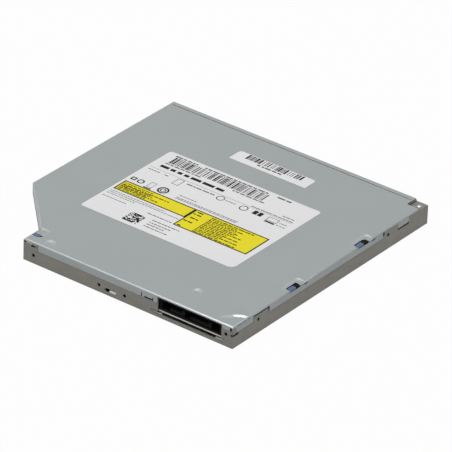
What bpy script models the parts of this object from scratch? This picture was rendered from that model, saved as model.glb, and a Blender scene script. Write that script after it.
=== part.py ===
# Slim tray-load optical disc drive without its front bezel, as closed solids in metres, +Z up.
# The tray comes out towards -Y, the rear connector faces +Y, and the origin is under the case's middle.

import math

import bmesh
import bpy
from mathutils import Matrix, Vector

# Clearances
FIT = 0.0001
RUNNING = 0.00015
SEAT = 0.00005
NEAR = 0.0003
CUT_PAST = 0.0010

# Case
CASE_WIDTH = 0.128
CASE_DEPTH = 0.1261
CASE_HEIGHT = 0.0095
WING_WIDTH = 0.02565
WING_THICKNESS = 0.0049
EAR_DEPTH = 0.0101
DIAGONAL_RUN = 0.02615
CHASSIS_SHEET = 0.0005
COVER_SHEET = 0.0005
FOLD_RADIUS = 0.0006
LABEL_THICKNESS = 0.00006
LABEL_GAP = 0.00002

# Cover flanges on each side: where each begins and ends, and its foot height.
# A distance counts from the side's start corner, and a negative one from its end corner.
LEFT_FLANGES = ((0.00205, 0.01255, 0.0063), (0.02265, -0.03025, 0.0063), (-0.02015, -0.01305, 0.0064))
REAR_FLANGES = ((0.0006, 0.00435, 0.0080), (0.00735, -0.03635, 0.0062), (-0.00505, -0.00075, 0.0074))
EAR_FLANGES = ((0.0006, -0.0013, 0.0062),)
SLANT_FLANGES = ((0.0010, -0.0012, 0.0063),)
RIGHT_FLANGES = ((0.0090, 0.0520, 0.0063), (0.0600, -0.00165, 0.0063))
FLANGE_RELIEF = 0.0002
JOGGLE_DROP = 0.0009

# Chassis corner tab and its rivet
TAB_WIDTH = 0.0058
TAB_DEPTH = 0.00665
TAB_TOP = 0.00825
RIVET_RADIUS = 0.0009
RIVET_HEIGHT = 0.0004
RIVET_FROM_LEFT = 0.0020
RIVET_FROM_FRONT = 0.00345

# Front strip of the cover, stepped down
STRIP_DEPTH = 0.00295
STRIP_DROP = 0.0003
STRIP_OVERLAP = 0.0006

# Openings of the cover, each from its rear end to its front end, as distances from the case's rear
HOOK_OPENING_WIDTH = 0.0019
HOOK_PLACES = ((0.03635, 0.04255), (0.08005, 0.08605))
HOOK_HOLLOW_RUN = 0.0024
HOOK_HOLLOW_WIDTH = 0.0042
HOOK_HOLLOW_DEPTH = 0.00022
FOLD_SLITS = ((0.03465, 0.04485), (0.07865, 0.08895))
SLIT_HEIGHT = 0.00022
EAR_SLOT_LEFT = 0.00485
EAR_SLOT_RIGHT = 0.00095
EAR_SLOT_REAR = 0.00505
EAR_SLOT_LENGTH = 0.0010

# Dimples of the cover, as distances from the step and the rear, and from the left side and the rear
STEP_DIMPLE = (0.01015, 0.00405)
LEFT_DIMPLE = (0.0267, 0.01225)
DIMPLE_RADIUS = 0.00225
DIMPLE_FLOOR_RADIUS = 0.0011
DIMPLE_DEPTH = 0.0002
CORNER_ARC_RADIUS = 0.0085
CORNER_ARC_SLOPE = 0.0011
CORNER_ARC_DEPTH = 0.0002

# Rear connector opening and holes of the walls, by distance along the side and height
PORT_FIRST = -0.0359
PORT_LAST = -0.0054
PORT_SILL = 0.0011
SCREW_HOLE_RADIUS = 0.00075
REAR_HOLES = ((0.00505, 0.0036), (0.03765, 0.0031), (0.05025, 0.0030), (-0.0033, 0.0053))
LEFT_HOLES = ((0.01585, 0.0060), (-0.02675, 0.0064))
REAR_SLOT = (0.04025, 0.04595, 0.0019, 0.0025)
EAR_LATCH_SLOT = (0.00505, 0.00655, 0.0075, 0.0078)

# Floor
STANDOFF_FROM_LEFT = 0.0395
STANDOFF_FROM_STEP = 0.01185
STANDOFF_FROM_REAR = 0.00505
STANDOFF_SPACING = 0.0175
STANDOFF_RADIUS = 0.0021
STANDOFF_DIMPLE = 0.0002
PANEL_FROM_LEFT = 0.0140
PANEL_FROM_STEP = 0.01135
PANEL_FROM_FRONT = 0.01305
PANEL_FROM_REAR = 0.03705
FLOOR_PANEL_DEPTH = 0.00012
FLOOR_PANEL_CORNER = 0.004
TOOLING_FROM_LEFT = 0.0110
TOOLING_FROM_STEP = 0.00735
TOOLING_FROM_ENDS = 0.0100
TOOLING_SPACING = 0.0150
TOOLING_RADIUS = 0.0014

# Labels
LABEL_SIDES = (-0.0370, 0.0384, -0.0289, 0.0285)
LABEL_CORNERS = (0.0005, 0.0020, 0.0005, 0.0050)
SMALL_LABEL_SIDES = (-0.0203, 0.0177, -0.0477, -0.0400)
SMALL_LABEL_CORNERS = (0.0020, 0.0020, 0.0003, 0.0003)

# Guides, rails and tray runners
GUIDE_FRONT = 0.0025
GUIDE_REAR_GAP = 0.0081
GUIDE_BASE = 0.0006
GUIDE_TOP = 0.0046
GUIDE_WALL = 0.00045
GUIDE_FLANGE = 0.0005
GUIDE_DEPTH = 0.00325
GUIDE_LIP = 0.0004
GUIDE_LIP_HEIGHT = 0.0004
HOOK_TOP = 0.0087
HOOK_WIDTH = 0.0011
HOOK_FROM_WALL = 0.0013
HOOK_SIDE_GAP = 0.0004
RAIL_SHEET = 0.00035
RAIL_DEPTH = 0.0021
RAIL_FRONT = 0.0030
RAIL_REAR_GAP = 0.0086
RUNNER_REAR_GAP = 0.01785
SKIRT_WIDTH = 0.0012

# Guide screws
GUIDE_SCREW_FROM_ENDS = 0.01705
GUIDE_SCREW_HEAD = 0.0019
GUIDE_SCREW_SHANK = 0.0008
GUIDE_SCREW_HEAD_HEIGHT = 0.0003

# Tray
TRAY_FRONT_GAP = 0.00015
TRAY_LEFT_GAP = 0.0027
TRAY_RIGHT_GAP = 0.0019
TRAY_REAR_GAP = 0.00165
TRAY_UNDER = 0.0053
TRAY_FLOOR = 0.0059
TRAY_RIM = 0.0083
TRAY_SHELF = 0.0074
TRAY_SHELF_GAP = 0.0003
TRAY_WALL = 0.0016
TRAY_FRONT_FOOT = 0.0013
RECESS_REAR_WALL = 0.0005
RECESS_SIDE_WALL = 0.0015
RECESS_FRONT_WALL = 0.0026
SMALL_RECESS_RADIUS = 0.0406
SMALL_RECESS_DEPTH = 0.00025
BEZEL_SLOT_WIDTH = 0.0060
BEZEL_SLOT_FROM_LEFT = 0.0170
BEZEL_SLOT_FROM_STEP = 0.01135
BEZEL_SLOT_LOW = 0.0024
BEZEL_SLOT_HIGH = 0.0040

# Traverse opening and cover
OPENING_HALF_WIDTH = 0.0273
OPENING_FROM_FRONT = 0.00325
OPENING_BEHIND_DISC = 0.0180
OPENING_CORNER = 0.003
TRAVERSE_GAP = 0.0007
TRAVERSE_COVER_UNDER = 0.00515
TRAVERSE_COVER_TOP = 0.00545
TURNTABLE_GAP = 0.0010
LENS_SLOT_HALF_WIDTH = 0.0065
LENS_SLOT_AHEAD_OF_DISC = 0.0193
LENS_SLOT_FROM_FRONT = 0.00445

# Traverse frame, rods and screw
FRAME_UNDER = 0.00445
FRAME_TOP = 0.00495
FRAME_HALF_WIDTH = 0.024
FRAME_FROM_FRONT = 0.00215
FRAME_BEHIND_DISC = 0.0166
WINDOW_HALF_WIDTH = 0.0175
WINDOW_FROM_FRONT = 0.00455
WINDOW_AHEAD_OF_DISC = 0.0113
ROD_X = 0.020
ROD_HEIGHT = 0.0030
ROD_RADIUS = 0.0009
BOSS_HALF_WIDTH = 0.0016
BOSS_UNDER = 0.0019
BOSS_DEPTH = 0.0020
DAMPER_X = 0.0295
DAMPER_BEHIND_DISC = 0.0077
DAMPER_FROM_FRONT = 0.01305
DAMPER_RADIUS = 0.0027
DAMPER_NECK = 0.00175
DAMPER_BORE = 0.00095
DAMPER_FLANGE = 0.00045
DAMPER_SCREW_HEAD = 0.0019
DAMPER_SCREW_HEAD_HEIGHT = 0.00055
DAMPER_SCREW_SHANK = 0.0008
DAMPER_SCREW_GRIP = 0.0003
SCREW_X = 0.0242
SCREW_RADIUS = 0.00075
SCREW_END_IN_BOSS = 0.0012
MOTOR_RADIUS = 0.0014
MOTOR_FROM_FRONT = 0.01215
MOTOR_LENGTH = 0.0095

# Pickup
PICKUP_HALF_WIDTH = 0.0222
PICKUP_AHEAD_OF_DISC = 0.0118
PICKUP_DEPTH = 0.0152
PICKUP_UNDER = 0.0016
PICKUP_TOP = 0.0042
LENS_FROM_PICKUP_FRONT = 0.0034
LENS_RADIUS = 0.0020
LENS_TOP = 0.0057
LENS_EDGE = 0.0002
LENS_BORE_RADIUS = 0.0014
HOLDER_HALF_WIDTH = 0.0056
HOLDER_FRONT_HALF = 0.0026
HOLDER_UNDER = 0.0032
HOLDER_TOP = 0.0052
FOCUS_TRAVEL = 0.0004
POCKET_GAP = 0.0005
FORK_HEIGHT_GAP = 0.00015
RACK_REACH = 0.0039
RACK_FROM_PICKUP_REAR = 0.0013
RACK_DEPTH = 0.0050
RACK_SHEET = 0.0004
RACK_WALL_TOP = 0.0034

# Spindle
BASE_RADIUS = 0.0136
BASE_UNDER = 0.0014
BASE_SHEET = 0.0004
BEARING_RADIUS = 0.0030
BEARING_TOP = 0.0040
LEG_ANGLES = (20, 90, 160)
LEG_IN = 0.0145
LEG_OUT = 0.0158
LEG_WIDTH = 0.0040
SHAFT_RADIUS = 0.0015
ROTOR_RADIUS = 0.0120
ROTOR_WALL = 0.0006
ROTOR_UNDER = 0.0021
ROTOR_TOP = 0.00465
ROTOR_SHEET = 0.0005
STATOR_TEETH = 9
STATOR_TIP = 0.0108
STATOR_YOKE = 0.0052
STATOR_TOP = 0.0037
STATOR_TIP_SHARE = 0.32
TURNTABLE_RADIUS = 0.0132
TURNTABLE_NECK = 0.0060
TURNTABLE_UNDER = 0.0053
TURNTABLE_TOP = 0.0061
PAD_INNER = 0.0100
PAD_OUTER = 0.0130
PAD_HEIGHT = 0.0003
HUB_RADIUS = 0.00735
HUB_TOP = 0.0079
HUB_TAPER = 0.0007
CLAW_COUNT = 3
CLAW_WIDTH = 0.0025
CLAW_TIP = 0.00785
CLAW_HEEL = 0.0037
CLAW_UNDER = 0.0070
CLAW_TOP = 0.0077
CLAW_TRAVEL = 0.0005
CLAW_SLOT_GAP = 0.0002

# Tray bottom cover
PAN_HALF_WIDTH = 0.0323
PAN_FROM_FRONT = 0.00255
PAN_BEHIND_DISC = 0.0187
PAN_UNDER = 0.00095
PAN_SHEET = 0.0003
PAN_BOSS_FROM_EDGE = 0.0020
PAN_BOSS_FROM_FRONT = 0.00705
PAN_BOSS_AHEAD_OF_DISC = 0.0253
PAN_BOSS_RADIUS = 0.0016
PAN_SCREW_HEAD = 0.0014
PAN_SCREW_SHANK = 0.0007
PAN_SCREW_LENGTH = 0.0020
PAN_SCREW_HEAD_HEIGHT = 0.00028

# Front board, eject switch and lamp
FRONT_BOARD_FROM_RIGHT = 0.0040
FRONT_BOARD_FROM_FRONT = 0.00275
FRONT_BOARD_WIDTH = 0.0196
FRONT_BOARD_DEPTH = 0.0083
FRONT_BOARD_TOP = 0.0059
SWITCH_FROM_RIGHT = 0.0125
SWITCH_HALF_WIDTH = 0.0023
SWITCH_DEPTH = 0.0033
SWITCH_TOP = 0.0079
PLUNGER_HALF_WIDTH = 0.0010
PLUNGER_LOW = 0.0067
PLUNGER_HIGH = 0.0075
PLUNGER_TRAVEL = 0.0003
LAMP_FROM_RIGHT = 0.0190
LAMP_HALF_WIDTH = 0.0009
LAMP_DEPTH = 0.0013
RELEASE_HOLE_FROM_RIGHT = 0.0270
RELEASE_HOLE_HEIGHT = 0.0070
RELEASE_HOLE_RADIUS = 0.0006

# Lock
LOCK_PIVOT_FROM_LEFT = 0.0200
LOCK_PIVOT_FROM_FRONT = 0.00805
LOCK_PIN_RADIUS = 0.0008
LOCK_HUB_RADIUS = 0.0019
LOCK_LOW = 0.0018
LOCK_HIGH = 0.0025
LOCK_ARM_WIDTH = 0.0014
LOCK_ARM_LENGTH = 0.0144
LOCK_HOOK_REACH = 0.0025
LOCK_HOOK_WIDTH = 0.0013
LOCK_TAIL = 0.0039
LOCK_POST_BESIDE_PIVOT = 0.0040
LOCK_POST_BEHIND_PIVOT = 0.0110
LOCK_POST_RADIUS = 0.0010
LOCK_POST_FOOT = 0.0018
LOCK_POST_FOOT_HEIGHT = 0.0004
LOCK_POST_TOP = 0.0032
MAGNET_WIDTH = 0.0090
MAGNET_FROM_FRONT = 0.00285
MAGNET_DEPTH = 0.0080
MAGNET_LOW = 0.0016

# Main board and its parts
BOARD_FROM_LEFT = 0.0058
BOARD_FROM_STEP = 0.00835
BOARD_DEPTH = 0.0253
BOARD_REAR_GAP = 0.00075
BOARD_UNDER = 0.0025
BOARD_SHEET = 0.0006
BOARD_SCREW_HEAD = 0.0017
BOARD_SCREW_HEAD_HEIGHT = 0.0006
BOARD_SCREW_SHANK = 0.0007
BOARD_SCREW_LENGTH = 0.0020
CONTROLLER_FROM_LEFT = 0.0520
CONTROLLER_FROM_REAR = 0.01305
CONTROLLER_SIZE = 0.0140
CONTROLLER_HEIGHT = 0.0010
DRIVER_FROM_STEP = 0.02735
DRIVER_FROM_REAR = 0.01255
DRIVER_SIZE = 0.0090
DRIVER_HEIGHT = 0.0009
SOCKET_FROM_REAR = 0.02445
SOCKET_DEPTH = 0.0034
SOCKET_HEIGHT = 0.0011
CONNECTOR_FROM_LEFT = 0.0059
CONNECTOR_WIDTH = 0.0295
CONNECTOR_FROM_REAR = 0.00665
CONNECTOR_TOP = 0.0084
CONNECTOR_WALL = 0.0009
CONNECTOR_BACK = 0.0012
TONGUES = ((0.0049, 0.0149), (0.0177, 0.0247))
TONGUE_LOW = 0.0045
TONGUE_HIGH = 0.0057
TONGUE_KEY = 0.0012

# Cable between the board and the tray
CABLE_FROM_LEFT = 0.0070
CABLE_WIDTH = 0.0110
CABLE_SHEET = 0.00015
CABLE_LOW = 0.00072
CABLE_FOLD_FROM_FRONT = 0.02905
CABLE_FOLD_RADIUS = 0.00105
CABLE_BEND = 0.0012
CABLE_END_FROM_REAR = 0.03005
CABLE_ROOT_HEIGHT = 0.0036

# Ejector
EJECTOR_FROM_STEP = 0.0049
EJECTOR_HALF_WIDTH = 0.0007
EJECTOR_LENGTH = 0.0055
EJECTOR_TOP = 0.0046
EJECTOR_PIN = 0.0005
EJECTOR_PIN_LENGTH = 0.0020
SPRING_RADIUS = 0.00085
SPRING_WIRE = 0.00015
SPRING_TURNS = 6
SPRING_STEPS = 12
WIRE_SIDES = 6
SPRING_LENGTH = 0.0062
SPRING_HEIGHT = 0.0027
SPRING_STOP_SHEET = 0.0005
SPRING_STOP_HALF_WIDTH = 0.0010

# Facets
FINE = 96
ROUND = 24
SMALL = 16
TINY = 1e-9
SHARP_ANGLE = math.radians(32)

# Places that follow from the sizes
LEFT = -CASE_WIDTH / 2
RIGHT = CASE_WIDTH / 2
FRONT = -CASE_DEPTH / 2
REAR = CASE_DEPTH / 2
STEP = RIGHT - WING_WIDTH
EAR = REAR - EAR_DEPTH
SLANT = EAR - DIAGONAL_RUN
WING_BASE = CASE_HEIGHT - WING_THICKNESS
COVER_TOP = CASE_HEIGHT - LABEL_THICKNESS - LABEL_GAP
COVER_UNDER = COVER_TOP - COVER_SHEET
SET_IN = COVER_SHEET + FIT
SKIRT_LIP = COVER_TOP - FOLD_RADIUS - SEAT
WALL_TOP = SKIRT_LIP - SEAT
TAB_REAR = FRONT + TAB_DEPTH
TAB_RIGHT = LEFT + TAB_WIDTH
MIDDLE = (LEFT + STEP) / 2
GUIDE_WEB = LEFT + CHASSIS_SHEET + FIT
GUIDE_INNER = GUIDE_WEB + GUIDE_DEPTH
GUIDE_START = FRONT + GUIDE_FRONT
GUIDE_REAR = REAR - GUIDE_REAR_GAP
RAIL_START = FRONT + RAIL_FRONT
RAIL_REAR = REAR - RAIL_REAR_GAP
RAIL_WEB = GUIDE_WEB + GUIDE_WALL + RUNNING
RAIL_LOW = GUIDE_BASE + GUIDE_FLANGE + RUNNING
RAIL_HIGH = GUIDE_TOP - GUIDE_FLANGE - RUNNING
RUNNER_EDGE = RAIL_WEB + RAIL_SHEET + RUNNING
RUNNER_LOW = RAIL_LOW + RAIL_SHEET + RUNNING
RUNNER_HIGH = RAIL_HIGH - RAIL_SHEET - RUNNING
SKIRT_EDGE = GUIDE_INNER + RUNNING
TRAY_FRONT = FRONT + TRAY_FRONT_GAP
TRAY_LEFT = LEFT + TRAY_LEFT_GAP
TRAY_RIGHT = RIGHT - TRAY_RIGHT_GAP
TRAY_REAR = REAR - TRAY_REAR_GAP
TRAY_INNER_FRONT = TRAY_FRONT + TRAY_WALL
TRAY_RADIUS = TRAY_RIGHT
RUNNER_REAR = REAR - RUNNER_REAR_GAP
RECESS_DEPTH_ROOM = TRAY_REAR - RECESS_REAR_WALL - RECESS_FRONT_WALL - TRAY_FRONT
RECESS_RADIUS = min(TRAY_RADIUS - RECESS_SIDE_WALL, RECESS_DEPTH_ROOM / 2)
DISC_Y = TRAY_REAR - RECESS_REAR_WALL - RECESS_RADIUS
OPENING_FRONT = FRONT + OPENING_FROM_FRONT
OPENING_REAR = DISC_Y + OPENING_BEHIND_DISC
LENS_SLOT_FRONT = FRONT + LENS_SLOT_FROM_FRONT
LENS_SLOT_REAR = DISC_Y - LENS_SLOT_AHEAD_OF_DISC
FRAME_FRONT = FRONT + FRAME_FROM_FRONT
FRAME_REAR = DISC_Y + FRAME_BEHIND_DISC
WINDOW_FRONT = FRONT + WINDOW_FROM_FRONT
WINDOW_REAR = DISC_Y - WINDOW_AHEAD_OF_DISC
DAMPER_REAR_Y = DISC_Y + DAMPER_BEHIND_DISC
DAMPER_PLACES = (
    (DAMPER_X, DAMPER_REAR_Y),
    (-DAMPER_X, DAMPER_REAR_Y),
    (-DAMPER_X, FRONT + DAMPER_FROM_FRONT),
)
SCREW_REAR = WINDOW_REAR + SCREW_END_IN_BOSS
MOTOR_REAR = FRONT + MOTOR_FROM_FRONT
PICKUP_REAR = DISC_Y - PICKUP_AHEAD_OF_DISC
PICKUP_FRONT = PICKUP_REAR - PICKUP_DEPTH
LENS_Y = PICKUP_FRONT + LENS_FROM_PICKUP_FRONT
RACK_REAR = PICKUP_REAR - RACK_FROM_PICKUP_REAR
RACK_FRONT = RACK_REAR - RACK_DEPTH
PAN_FRONT = FRONT + PAN_FROM_FRONT
PAN_REAR = DISC_Y + PAN_BEHIND_DISC
PAN_BOSS_X = PAN_HALF_WIDTH - PAN_BOSS_FROM_EDGE
PAN_BOSS_REAR_Y = DISC_Y - PAN_BOSS_AHEAD_OF_DISC
PAN_BOSSES = (
    (PAN_BOSS_X, FRONT + PAN_BOSS_FROM_FRONT),
    (PAN_BOSS_X, PAN_BOSS_REAR_Y),
    (-PAN_BOSS_X, PAN_BOSS_REAR_Y),
)
SWITCH_X = RIGHT - SWITCH_FROM_RIGHT
SWITCH_FRONT = FRONT + FRONT_BOARD_FROM_FRONT
SWITCH_REAR = SWITCH_FRONT + SWITCH_DEPTH
LAMP_X = RIGHT - LAMP_FROM_RIGHT
LAMP_REAR = SWITCH_FRONT + LAMP_DEPTH
FRONT_BOARD_RIGHT = RIGHT - FRONT_BOARD_FROM_RIGHT
FRONT_BOARD = (
    FRONT_BOARD_RIGHT - FRONT_BOARD_WIDTH,
    FRONT_BOARD_RIGHT,
    SWITCH_FRONT,
    SWITCH_FRONT + FRONT_BOARD_DEPTH,
)
LOCK_PIVOT = (LEFT + LOCK_PIVOT_FROM_LEFT, FRONT + LOCK_PIVOT_FROM_FRONT)
LOCK_POST = (LOCK_PIVOT[0] + LOCK_POST_BESIDE_PIVOT, LOCK_PIVOT[1] + LOCK_POST_BEHIND_PIVOT)
MAGNET_FRONT = FRONT + MAGNET_FROM_FRONT
STANDOFF_RIGHT_X = STEP - STANDOFF_FROM_STEP
STANDOFF_REAR_Y = REAR - STANDOFF_FROM_REAR
STANDOFFS = (
    (LEFT + STANDOFF_FROM_LEFT, STANDOFF_REAR_Y),
    (STANDOFF_RIGHT_X, STANDOFF_REAR_Y),
    (STANDOFF_RIGHT_X, STANDOFF_REAR_Y - STANDOFF_SPACING),
)
FLOOR_PANEL = (
    LEFT + PANEL_FROM_LEFT,
    STEP - PANEL_FROM_STEP,
    FRONT + PANEL_FROM_FRONT,
    REAR - PANEL_FROM_REAR,
)
TOOLING_HOLES = (
    (LEFT + TOOLING_FROM_LEFT, REAR - TOOLING_FROM_ENDS - NEAR),
    (LEFT + TOOLING_FROM_LEFT, FRONT + TOOLING_FROM_ENDS + TOOLING_SPACING),
    (STEP - TOOLING_FROM_STEP, FRONT + TOOLING_FROM_ENDS),
)
DIMPLES = (
    (STEP - STEP_DIMPLE[0], REAR - STEP_DIMPLE[1]),
    (LEFT + LEFT_DIMPLE[0], REAR - LEFT_DIMPLE[1]),
)
HOOK_STRETCHES = [(REAR - far, REAR - near) for near, far in HOOK_PLACES]
SLIT_STRETCHES = [(REAR - far, REAR - near) for near, far in FOLD_SLITS]
EAR_SLOT_END = REAR - EAR_SLOT_REAR
EAR_SLOT = (STEP - EAR_SLOT_LEFT, STEP - EAR_SLOT_RIGHT, EAR_SLOT_END - EAR_SLOT_LENGTH, EAR_SLOT_END)
BEZEL_SLOT_MIDDLES = (LEFT + BEZEL_SLOT_FROM_LEFT, 0.0, STEP - BEZEL_SLOT_FROM_STEP)
BOARD_LEFT = LEFT + BOARD_FROM_LEFT
BOARD_RIGHT = STEP - BOARD_FROM_STEP
BOARD_TOP = BOARD_UNDER + BOARD_SHEET
BOARD_REAR = REAR - BOARD_REAR_GAP
BOARD_FRONT = BOARD_REAR - BOARD_DEPTH
SOCKET_FRONT = REAR - SOCKET_FROM_REAR
CONNECTOR_LEFT = LEFT + CONNECTOR_FROM_LEFT
CONNECTOR_RIGHT = CONNECTOR_LEFT + CONNECTOR_WIDTH
CONNECTOR_FRONT = REAR - CONNECTOR_FROM_REAR
CABLE_LEFT = LEFT + CABLE_FROM_LEFT
CABLE_RIGHT = CABLE_LEFT + CABLE_WIDTH
CABLE_FOLD_Y = FRONT + CABLE_FOLD_FROM_FRONT
CABLE_TRAY_END = REAR - CABLE_END_FROM_REAR
EJECTOR_X = STEP - EJECTOR_FROM_STEP
EJECTOR_FRONT = RUNNER_REAR + NEAR
EJECTOR_REAR = EJECTOR_FRONT + EJECTOR_LENGTH
SPRING_REAR = EJECTOR_REAR + FIT + SPRING_LENGTH
MAGNET_RIGHT = LOCK_PIVOT[0] - LOCK_TAIL - NEAR
TURNTABLE_HOLE = TURNTABLE_RADIUS + TURNTABLE_GAP
SPINDLE_CLEARANCE = BASE_RADIUS + NEAR

places = {}


# Outlines

def rectangle(left, right, front, rear):
    return [(left, front), (right, front), (right, rear), (left, rear)]


def arc(x, y, radius, first, last, steps):
    angles = [math.radians(first + (last - first) * k / steps) for k in range(steps + 1)]
    return [(x + radius * math.cos(a), y + radius * math.sin(a)) for a in angles]


def circle(x, y, radius, sides=ROUND):
    return arc(x, y, radius, 0, 360, sides)[:-1]


def rounded(left, right, front, rear, corners, steps=4):
    # corners gives the radii of the front left, front right, rear right and rear left corner
    spots = [(left, front, 1, 1, 180), (right, front, -1, 1, 270)]
    spots += [(right, rear, -1, -1, 0), (left, rear, 1, -1, 90)]
    outline = []
    for (x, y, side_x, side_y, first), radius in zip(spots, corners):
        outline += arc(x + side_x * radius, y + side_y * radius, radius, first, first + 90, steps)
    return outline


def inset(outline, amount):
    # Moves every edge of an outline that runs anticlockwise inwards by the same amount
    moved = []
    for before, here, after in zip(outline[-1:] + outline[:-1], outline, outline[1:] + outline[:1]):
        first = (Vector(here) - Vector(before)).normalized()
        second = (Vector(after) - Vector(here)).normalized()
        normal = Vector((-first.y - second.y, first.x + second.x)).normalized()
        reach = amount / (normal.x * -first.y + normal.y * first.x)
        moved.append((here[0] + normal.x * reach, here[1] + normal.y * reach))
    return moved


def mirrored(points):
    # The right runner, rail and guide mirror the left ones about the middle of the deep body
    return [(2 * MIDDLE - x, height) for x, height in points]


# Solids

def new_shape(bm):
    bmesh.ops.recalc_face_normals(bm, faces=bm.faces)
    mesh = bpy.data.meshes.new("shape")
    bm.to_mesh(mesh)
    bm.free()
    shape = bpy.data.objects.new("shape", mesh)
    bpy.context.scene.collection.objects.link(shape)
    return shape


def along_z(u, v, w):
    return Vector((u, v, w))


def along_y(u, v, w):
    return Vector((u, w, v))


def along_x(u, v, w):
    return Vector((w, u, v))


def prism(outline, low, high, place=along_z, holes=()):
    bm = bmesh.new()
    edges = []
    for loop in (outline, *holes):
        corners = [bm.verts.new(place(u, v, low)) for u, v in loop]
        edges += [bm.edges.new(pair) for pair in zip(corners, corners[1:] + corners[:1])]
    if holes:
        bmesh.ops.triangle_fill(bm, use_beauty=True, edges=edges)
    else:
        bm.faces.new(corners)
    lifted = bmesh.ops.extrude_face_region(bm, geom=bm.faces[:])
    moved = [item for item in lifted["geom"] if isinstance(item, bmesh.types.BMVert)]
    bmesh.ops.translate(bm, vec=place(0, 0, high) - place(0, 0, low), verts=moved)
    return new_shape(bm)


def block(left, right, front, rear, low, high):
    return prism(rectangle(left, right, front, rear), low, high)


def cylinder(x, y, radius, low, high, sides=ROUND, place=along_z):
    return prism(circle(x, y, radius, sides), low, high, place)


def turned(profile, sides=ROUND, x=0.0, y=0.0):
    # Turns a closed (radius, height) profile about a vertical axis
    bm = bmesh.new()
    rings = []
    for radius, height in profile:
        count = 1 if radius < TINY else sides
        turns = [2 * math.pi * k / sides for k in range(count)]
        ring = [bm.verts.new((x + radius * math.cos(t), y + radius * math.sin(t), height)) for t in turns]
        rings.append(ring)
    for ring, following in zip(rings, rings[1:] + rings[:1]):
        for k in range(sides):
            corners = (ring[k % len(ring)], ring[(k + 1) % sides % len(ring)])
            corners += (following[(k + 1) % sides % len(following)], following[k % len(following)])
            corners = tuple(dict.fromkeys(corners))
            if len(corners) > 2:
                bm.faces.new(corners)
    return new_shape(bm)


def way_of(start, end):
    return (Vector(end) - Vector(start)).normalized()


def wall_plane(start, end):
    # Maps (distance along the side, height, depth in from its face) to space
    way = way_of(start, end)

    def place(along, height, depth):
        x = start[0] + way.x * along - way.y * depth
        y = start[1] + way.y * along + way.x * depth
        return Vector((x, y, height))

    return place


def folded_run(start, end, first, last, section):
    # Sweeps a (depth, height) section along a side, between two distances from its start
    plane = wall_plane(start, end)
    return prism(section, first, last, lambda depth, height, along: plane(along, height, depth))


def combine(body, tools, operation):
    # One exact step with all the tools, which are used up
    group = bpy.data.collections.new("tools")
    for tool in tools:
        group.objects.link(tool)
    step = body.modifiers.new(operation, "BOOLEAN")
    step.operation = operation
    step.solver = "EXACT"
    step.operand_type = "COLLECTION"
    step.collection = group
    seen = body.evaluated_get(bpy.context.evaluated_depsgraph_get())
    mesh = bpy.data.meshes.new_from_object(seen)
    body.modifiers.clear()
    body.data = mesh
    for tool in tools:
        bpy.data.objects.remove(tool)
    bpy.data.collections.remove(group)
    return body


def fuse(body, *tools):
    return combine(body, tools, "UNION")


def cut(body, *tools):
    return combine(body, tools, "DIFFERENCE")


# Materials and placing

def linear(value):
    share = value / 255
    return share / 12.92 if share <= 0.04045 else ((share + 0.055) / 1.055) ** 2.4


def coat(name, red, green, blue, roughness, metallic=0.0):
    paint = bpy.data.materials.new(name)
    paint.use_nodes = True
    shader = paint.node_tree.nodes["Principled BSDF"]
    shader.inputs["Base Color"].default_value = (linear(red), linear(green), linear(blue), 1)
    shader.inputs["Roughness"].default_value = roughness
    shader.inputs["Metallic"].default_value = metallic
    return paint


def joint_home(name, at, parent=None):
    # An empty on the axis of a joint, which carries the pieces that move together
    home = bpy.data.objects.new(name, None)
    bpy.context.scene.collection.objects.link(home)
    places[name] = Vector(at)
    home.parent = parent
    home.location = Vector(at) - (places[parent.name] if parent else Vector())
    return home


def finish(shape, name, paint, home=None, at=(0, 0, 0), turn=0.0):
    shape.name = name
    shape.data.name = name
    shape.data.materials.clear()
    shape.data.materials.append(paint)
    shape.data.shade_smooth()
    shape.data.set_sharp_from_angle(angle=SHARP_ANGLE)
    shape.parent = home
    shape.location = Vector(at) - (places[home.name] if home else Vector())
    shape.rotation_euler.z = turn
    return shape


def another(shape, name, home=None, at=(0, 0, 0), turn=0.0):
    # One more copy of a repeated piece, as an object of its own on the same mesh
    copy = bpy.data.objects.new(name, shape.data)
    bpy.context.scene.collection.objects.link(copy)
    copy.parent = home
    copy.location = Vector(at) - (places[home.name] if home else Vector())
    copy.rotation_euler.z = turn
    return copy


def screw(head, head_low, head_high, shank, tip):
    # A screw on its own axis with its head below its shank
    lower = [(0, head_low), (head, head_low), (head, head_high)]
    upper = [(shank, head_high), (shank, tip), (0, tip)]
    return turned(lower + upper, SMALL)


# Sides of the case, each from its start corner to its end corner, anticlockwise

SIDES = {
    "left": ((LEFT, REAR), (LEFT, FRONT)),
    "rear": ((STEP, REAR), (LEFT, REAR)),
    "ear": ((STEP, EAR), (STEP, REAR)),
    "slant": ((RIGHT, SLANT), (STEP, EAR)),
    "right": ((RIGHT, FRONT), (RIGHT, SLANT)),
}
FLANGES = {
    "left": LEFT_FLANGES,
    "rear": REAR_FLANGES,
    "ear": EAR_FLANGES,
    "slant": SLANT_FLANGES,
    "right": RIGHT_FLANGES,
}


def side_length(side):
    start, end = SIDES[side]
    return (Vector(end) - Vector(start)).length


def along_side(side, distance):
    # A negative distance counts back from the side's end corner
    return distance if distance >= 0 else side_length(side) + distance


def flanges_of(side):
    return [(along_side(side, first), along_side(side, last), foot) for first, last, foot in FLANGES[side]]


def case_outline(front):
    return [(LEFT, front), (RIGHT, front), (RIGHT, SLANT), (STEP, EAR), (STEP, REAR), (LEFT, REAR)]


def side_cut(side, first, last, low, high, thickness):
    # A tool that clears one stretch of a side's wall between two heights
    section = rectangle(-CUT_PAST, thickness + CUT_PAST, low, high)
    return folded_run(*SIDES[side], first, last, section)


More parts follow.
